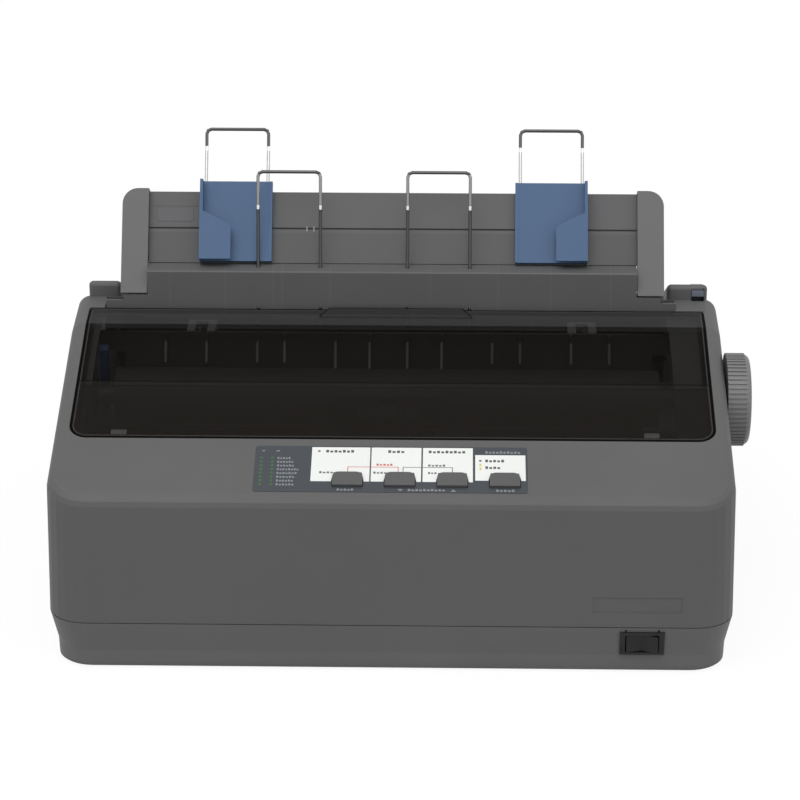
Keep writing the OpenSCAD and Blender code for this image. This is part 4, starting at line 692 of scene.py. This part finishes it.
# ---------------------------------------------------------------- knob
# The paper feed knob is moulded in grey with fine ridges that fingers have polished. It
# is pressed on the right end of the platen's shaft.
knob_plastic = moulded("knob_plastic", srgb(121, 121, 121), rough=0.42, grain=0.0007, worn=0.8,
                       wear_size=0.0004)
dress(knob_plastic, "platen_knob", smooth=35)

# ---------------------------------------------------------------- carriage and ribbon
# A black moulded carriage that slides on the shaft and the rail, with a finned print
# head, a clipped in cartridge and a strip of inked fabric.
carriage_black = moulded("carriage_black", srgb(56, 56, 58), rough=0.45, worn=0.5)
cartridge_black = moulded("cartridge_black", srgb(40, 40, 42), rough=0.4, worn=0.4)
head_black = moulded("head_black", srgb(36, 37, 38), rough=0.5, grain=0.0012, depth=0.3, worn=0.6)
dress(carriage_black, "carriage")
dress(cartridge_black, "ribbon_cartridge", smooth=30)
dress(head_black, "print_head")
made, tree, shader = material("ribbon_fabric")
coord = new_node(tree, "ShaderNodeTexCoord")
warp = new_node(tree, "ShaderNodeTexWave", Scale=700.0, bands_direction="X")
weft = new_node(tree, "ShaderNodeTexWave", Scale=700.0, bands_direction="Z")
for wave in (warp, weft):
    tree.links.new(coord.outputs["Object"], wave.inputs["Vector"])
cross = math_node(tree, "MULTIPLY", warp.outputs["Fac"], weft.outputs["Fac"])
tree.links.new(blend_colour(tree, cross, srgb(12, 12, 14), srgb(38, 38, 44)), shader.inputs["Base Color"])
shader.inputs["Roughness"].default_value = 0.9
dress(made, "ink_ribbon")

# ---------------------------------------------------------------- tractors
# Dark moulded tractors that slide on the tractor shaft and a steel rod. Each has a lid
# that folds up on a hinge.
tractor_grey = moulded("tractor_grey", srgb(32, 32, 33), rough=0.5, worn=0.3)
# The lids get a darker copy of the tractors' grey, as painted shade.
lid_grey_painted_darker = moulded("lid_grey_painted_darker", srgb(24, 24, 25), rough=0.5, worn=0.3)
dress(tractor_grey, "tractor_left", "tractor_right", smooth=30)
dress(lid_grey_painted_darker, "tractor_lid_left", "tractor_lid_right", smooth=30)

# ---------------------------------------------------------------- levers
# Blue moulded levers that turn on pins: a thin one under the cover sets the head's gap,
# and a paler one at the right frees the paper.
lever_blue = moulded("lever_blue", srgb(62, 84, 128), rough=0.4, grain=0.0008, worn=0.4)
release_blue = moulded("release_blue", srgb(108, 114, 126), rough=0.42, grain=0.0008, worn=0.4)
dress(lever_blue, "thickness_lever", smooth=30)
dress(release_blue, "release_lever", smooth=30)

# ---------------------------------------------------------------- sheet guide and base
# A grey moulded panel between two thicker rails, which turn on pins in the guide's base.
# The rails are a little lighter than the panel, and the panel's lower part has painted shade.
# In metres: the guide's middle, the rails' inner edges and the height below which shade is painted
GUIDE_MIDDLE, RAIL_INSIDE, PAINTED_SHADE_BELOW = SHIFT + 0.0023, 0.1327, 0.1767


def rails_lighter_low_part_shaded(tree, base):
    """Guide colour with its rails lighter and painted shade on its lower part."""
    x, _, z = position(tree)
    side = math_node(tree, "ABSOLUTE", math_node(tree, "ADD", x, GUIDE_MIDDLE))
    base = blend_colour(tree, math_node(tree, "LESS_THAN", z, PAINTED_SHADE_BELOW), base, srgb(84, 84, 85), 0.75)
    return blend_colour(tree, math_node(tree, "GREATER_THAN", side, RAIL_INSIDE), base, srgb(105, 105, 106))


guide_plastic = moulded("guide_plastic", srgb(93, 93, 94), rough=0.5, grain=0.0008, pick=rails_lighter_low_part_shaded)
# The base's upright lines, painted highlights that stand for its flutes' lit edges, in
# millimetres across and half their width in metres, and the heights between which the
# ledge's edge has a painted highlight
FLUTES = [-128.8, -99.0, -73.0, -68.1, -42.2, 12.0, 48.6, 77.2, 109.5]
FLUTE_HALF = 0.0004
LEDGE_LOW, LEDGE_HIGH = 0.1611, 0.16195


def flute_and_ledge_painted_highlights(tree, base):
    """Faint painted highlights in upright lines on the base's front wall, and a painted highlight on the
    ledge's edge.
    """
    x, _, z = position(tree)
    mask = 0.0
    for place in FLUTES:
        line = between(tree, x, place / 1000 - FLUTE_HALF, place / 1000 + FLUTE_HALF)
        mask = math_node(tree, "ADD", mask, line)
    base = blend_colour(tree, mask, base, srgb(106, 106, 107), 0.45)
    return blend_colour(tree, between(tree, z, LEDGE_LOW, LEDGE_HIGH), base, srgb(140, 140, 141), 0.8)


base_plastic = moulded("base_plastic", srgb(94, 94, 94), rough=0.5, grain=0.0008, pick=flute_and_ledge_painted_highlights)
dress(guide_plastic, "sheet_guide", smooth=30)
dress(base_plastic, "guide_base")


def front_point(x, z, y):
    """Row frame point from millimetres across, up and back, on a wall that faces the front."""
    return (x / 1000 - SHIFT, y / 1000, z / 1000)


# The base's wall runs on at both ends, down to the cover and up to the rails
ENDS_LOW, ENDS_HIGH, ENDS_FRONT, ENDS_BACK = 136.6, 144.8, 19.05, 20.2
plate("base_ends", [bar(-157.2, ENDS_LOW, -147.6, ENDS_HIGH), bar(142.6, ENDS_LOW, 151.2, ENDS_HIGH)],
      front_point, ENDS_BACK, ENDS_FRONT, "body", base_plastic)

# In millimetres: the guide's hinge and lean, where its groove runs, and its front face
HINGE_Y, HINGE_Z, LEAN = 26.0, 146.02, math.radians(30)
GROOVE_T, SHEET_N = 35.45, 3.3


def guide_point(x, t, n=0.0):
    """Row frame point from millimetres across, up the guide and out towards the front."""
    return (x / 1000 - SHIFT, (HINGE_Y + t * math.sin(LEAN) - n * math.cos(LEAN)) / 1000,
            (HINGE_Z + t * math.cos(LEAN) + n * math.sin(LEAN)) / 1000)


# A dark strip laid deep in the groove is painted shade.
groove_shade = moulded("groove_shade", srgb(34, 34, 35), rough=0.7, worn=0.0)
plate("guide_groove_line", [bar(-134.6, GROOVE_T, 130.0, GROOVE_T + 0.9)],
      guide_point, SHEET_N - 0.49, SHEET_N - 0.12, "sheet_guide", groove_shade)
MARK_LOW, MARK_HIGH = SHEET_N - 0.1, SHEET_N + 0.22
guide_raised = moulded("guide_raised", srgb(96, 96, 98), rough=0.5, worn=0.2)
plate("guide_raised_marks", [rounded(-130.4, 39.6, -111.0, 46.4, 1), bar(-133.6, 48.0, -109, 48.5)],
      guide_point, MARK_LOW, MARK_HIGH, "sheet_guide", guide_raised, bevel=0.0001)
guide_ticks = moulded("guide_ticks", srgb(140, 140, 141), worn=0.0)
TICK_LOW, TICK_HIGH = GROOVE_T - 1.2, GROOVE_T + 1.6
plate("guide_tick_marks", [bar(-49.4, TICK_LOW, -48.6, TICK_HIGH), bar(-45.6, TICK_LOW, -44.8, TICK_HIGH)],
      guide_point, MARK_LOW, MARK_HIGH, "sheet_guide", guide_ticks)

# ---------------------------------------------------------------- edge guides
# Blue moulded guides that slide along the sheet guide. Each has a side wall and a lip
# that the sheet's edge runs behind.
blue_plastic = moulded("edge_blue", srgb(71, 98, 132), rough=0.42, grain=0.0008, worn=0.55, dusty=0.05,
                       wear_size=0.0009)
dress(blue_plastic, "edge_guide_left", "edge_guide_right", smooth=30)

# ---------------------------------------------------------------- wires
# Drawn steel wire, plated and bent into narrow hoops. The front two slide in the base
# and the rear two in the edge guides.
# How far the kink's painted highlight reaches below and above it, in metres
GLINT_BELOW_KINK, GLINT_ABOVE_KINK = 0.001, 0.0012


def wire_with_painted_reflections(name, kink, top, legs, bow, crown):
    """Drawn wire in three tones of painted reflection, legs, bow and crown, with a painted highlight at the
    kink.
    """
    def tones(tree, base):
        height = position(tree)[2]
        base = blend_colour(tree, math_node(tree, "GREATER_THAN", height, kink), base, bow)
        base = blend_colour(tree, math_node(tree, "GREATER_THAN", height, top), base, crown)
        bright = between(tree, height, kink - GLINT_BELOW_KINK, kink + GLINT_ABOVE_KINK)
        return blend_colour(tree, bright, base, srgb(238, 238, 238), 0.9)
    return metal(name, legs, rough=0.15, stretch=(3, 3, 3), streak=0.12, worn=0.1, pick=tones)


# The tones are painted reflections: the front wires dark on the legs and light on the bows, the rear wires
# light on the legs and dark above.
dress(wire_with_painted_reflections("front_wire_steel", 0.1935, 0.2112, srgb(80, 80, 81), srgb(148, 148, 146), srgb(84, 84, 84)),
      "front_wire_left", "front_wire_right", smooth=60)
dress(wire_with_painted_reflections("rear_wire_steel", 0.2180, 0.2270, srgb(182, 182, 181), srgb(96, 96, 96), srgb(78, 78, 78)),
      "rear_wire_left", "rear_wire_right", smooth=60)

# ---------------------------------------------------------------- front cover
# Smoked clear plastic, moulded dark and slightly brown, which turns on two pins at its
# rear. Its cut edges look black, a moulded line crosses it in front of the ribs, and a
# painted highlight runs along its rim.
# In metres: the line, the bend where the rear strip starts, and the rim along the edge, which has a painted
# highlight
LINE_Y, LINE_HALF = FRONT + 0.0933 * math.cos(SLOPE), 0.0003
BEND_Y = -0.0020
HIGHLIGHT_INNER, HIGHLIGHT_OUTER, CUT_EDGE = -0.0017, -0.0011, -0.0009
# How much the plastic hides: between line and bend, how much more in front of them and
# behind them, and on the rim
HIDES, HIDES_MORE_AHEAD, HIDES_MORE_STRIP, HIDES_RIM = 0.42, 0.22, 0.14, 0.8
made, tree, shader = material("smoked_cover")
texture = use_group(tree, spark, Size=0.01)
base = blend_colour(tree, texture.outputs["Tone"], (0.0065, 0.0052, 0.0042, 1), (0.0085, 0.0068, 0.0055, 1))
along = position(tree)[1]
distance = cover_distance(tree)
ahead = math_node(tree, "LESS_THAN", along, LINE_Y)
strip = math_node(tree, "GREATER_THAN", along, BEND_Y)
base = blend_colour(tree, ahead, base, (0.0205, 0.0180, 0.0158, 1))
base = blend_colour(tree, strip, base, (0.066, 0.066, 0.067, 1))
# A painted highlight: a thin lighter line along the cover's rim
rim = between(tree, distance, HIGHLIGHT_INNER, HIGHLIGHT_OUTER)
base = blend_colour(tree, rim, base, (0.10, 0.097, 0.092, 1), 0.6)
line = between(tree, along, LINE_Y - LINE_HALF, LINE_Y + LINE_HALF)
border = math_node(tree, "MAXIMUM", math_node(tree, "GREATER_THAN", distance, CUT_EDGE), line)
tree.links.new(blend_colour(tree, border, base, (0.004, 0.004, 0.004, 1)), shader.inputs["Base Color"])
shader.inputs["Roughness"].default_value = 0.08
shader.inputs["Specular IOR Level"].default_value = 0.01
hidden = math_node(tree, "MULTIPLY_ADD", ahead, HIDES_MORE_AHEAD, HIDES)
hidden = math_node(tree, "MULTIPLY_ADD", strip, HIDES_MORE_STRIP, hidden)
solid = math_node(tree, "MAXIMUM", border, math_node(tree, "MULTIPLY", rim, HIDES_RIM))
tree.links.new(math_node(tree, "MAXIMUM", hidden, solid), shader.inputs["Alpha"])
dress(made, "front_cover")

# The rear strip's slope, the height of its back edge in metres, and how far the finger
# pad stands out of it in millimetres
STRIP_SLOPE, STRIP_Z, PAD_HEIGHT = math.radians(6), 0.14099, 1.0


def strip_point(x, v, n=0.0):
    """Row frame point from millimetres across, back along the rear strip and out of it."""
    return (x / 1000 - SHIFT,
            COVER_BACK + (v * math.cos(STRIP_SLOPE) - n * math.sin(STRIP_SLOPE)) / 1000,
            STRIP_Z + (v * math.sin(STRIP_SLOPE) + n * math.cos(STRIP_SLOPE)) / 1000)


smoke_rim = glossy("smoke_rim", srgb(18, 18, 19), specular=0.2)
plate("finger_pad_rim", [[(-41, -10.5), (-40.3, -10.5), (-35.6, -1.2), (-36, -0.6)],
                         [(-36, -0.6), (-35.6, -1.2), (35.6, -1.2), (36, -0.6)],
                         [(36, -0.6), (35.6, -1.2), (40.3, -10.5), (41, -10.5)]],
      strip_point, PAD_HEIGHT - 0.1, PAD_HEIGHT + 0.35, "front_cover", smoke_rim)
smoke_pale = glossy("smoke_pale", srgb(52, 50, 48), specular=0.2)
plate("latch_pads", [rounded(-144.2, 50.0, -136.1, 53.8, 0.6), rounded(129.0, 50.0, 136.8, 53.8, 0.6)],
      deck_point, 0.0, 0.06, "front_cover", smoke_pale)
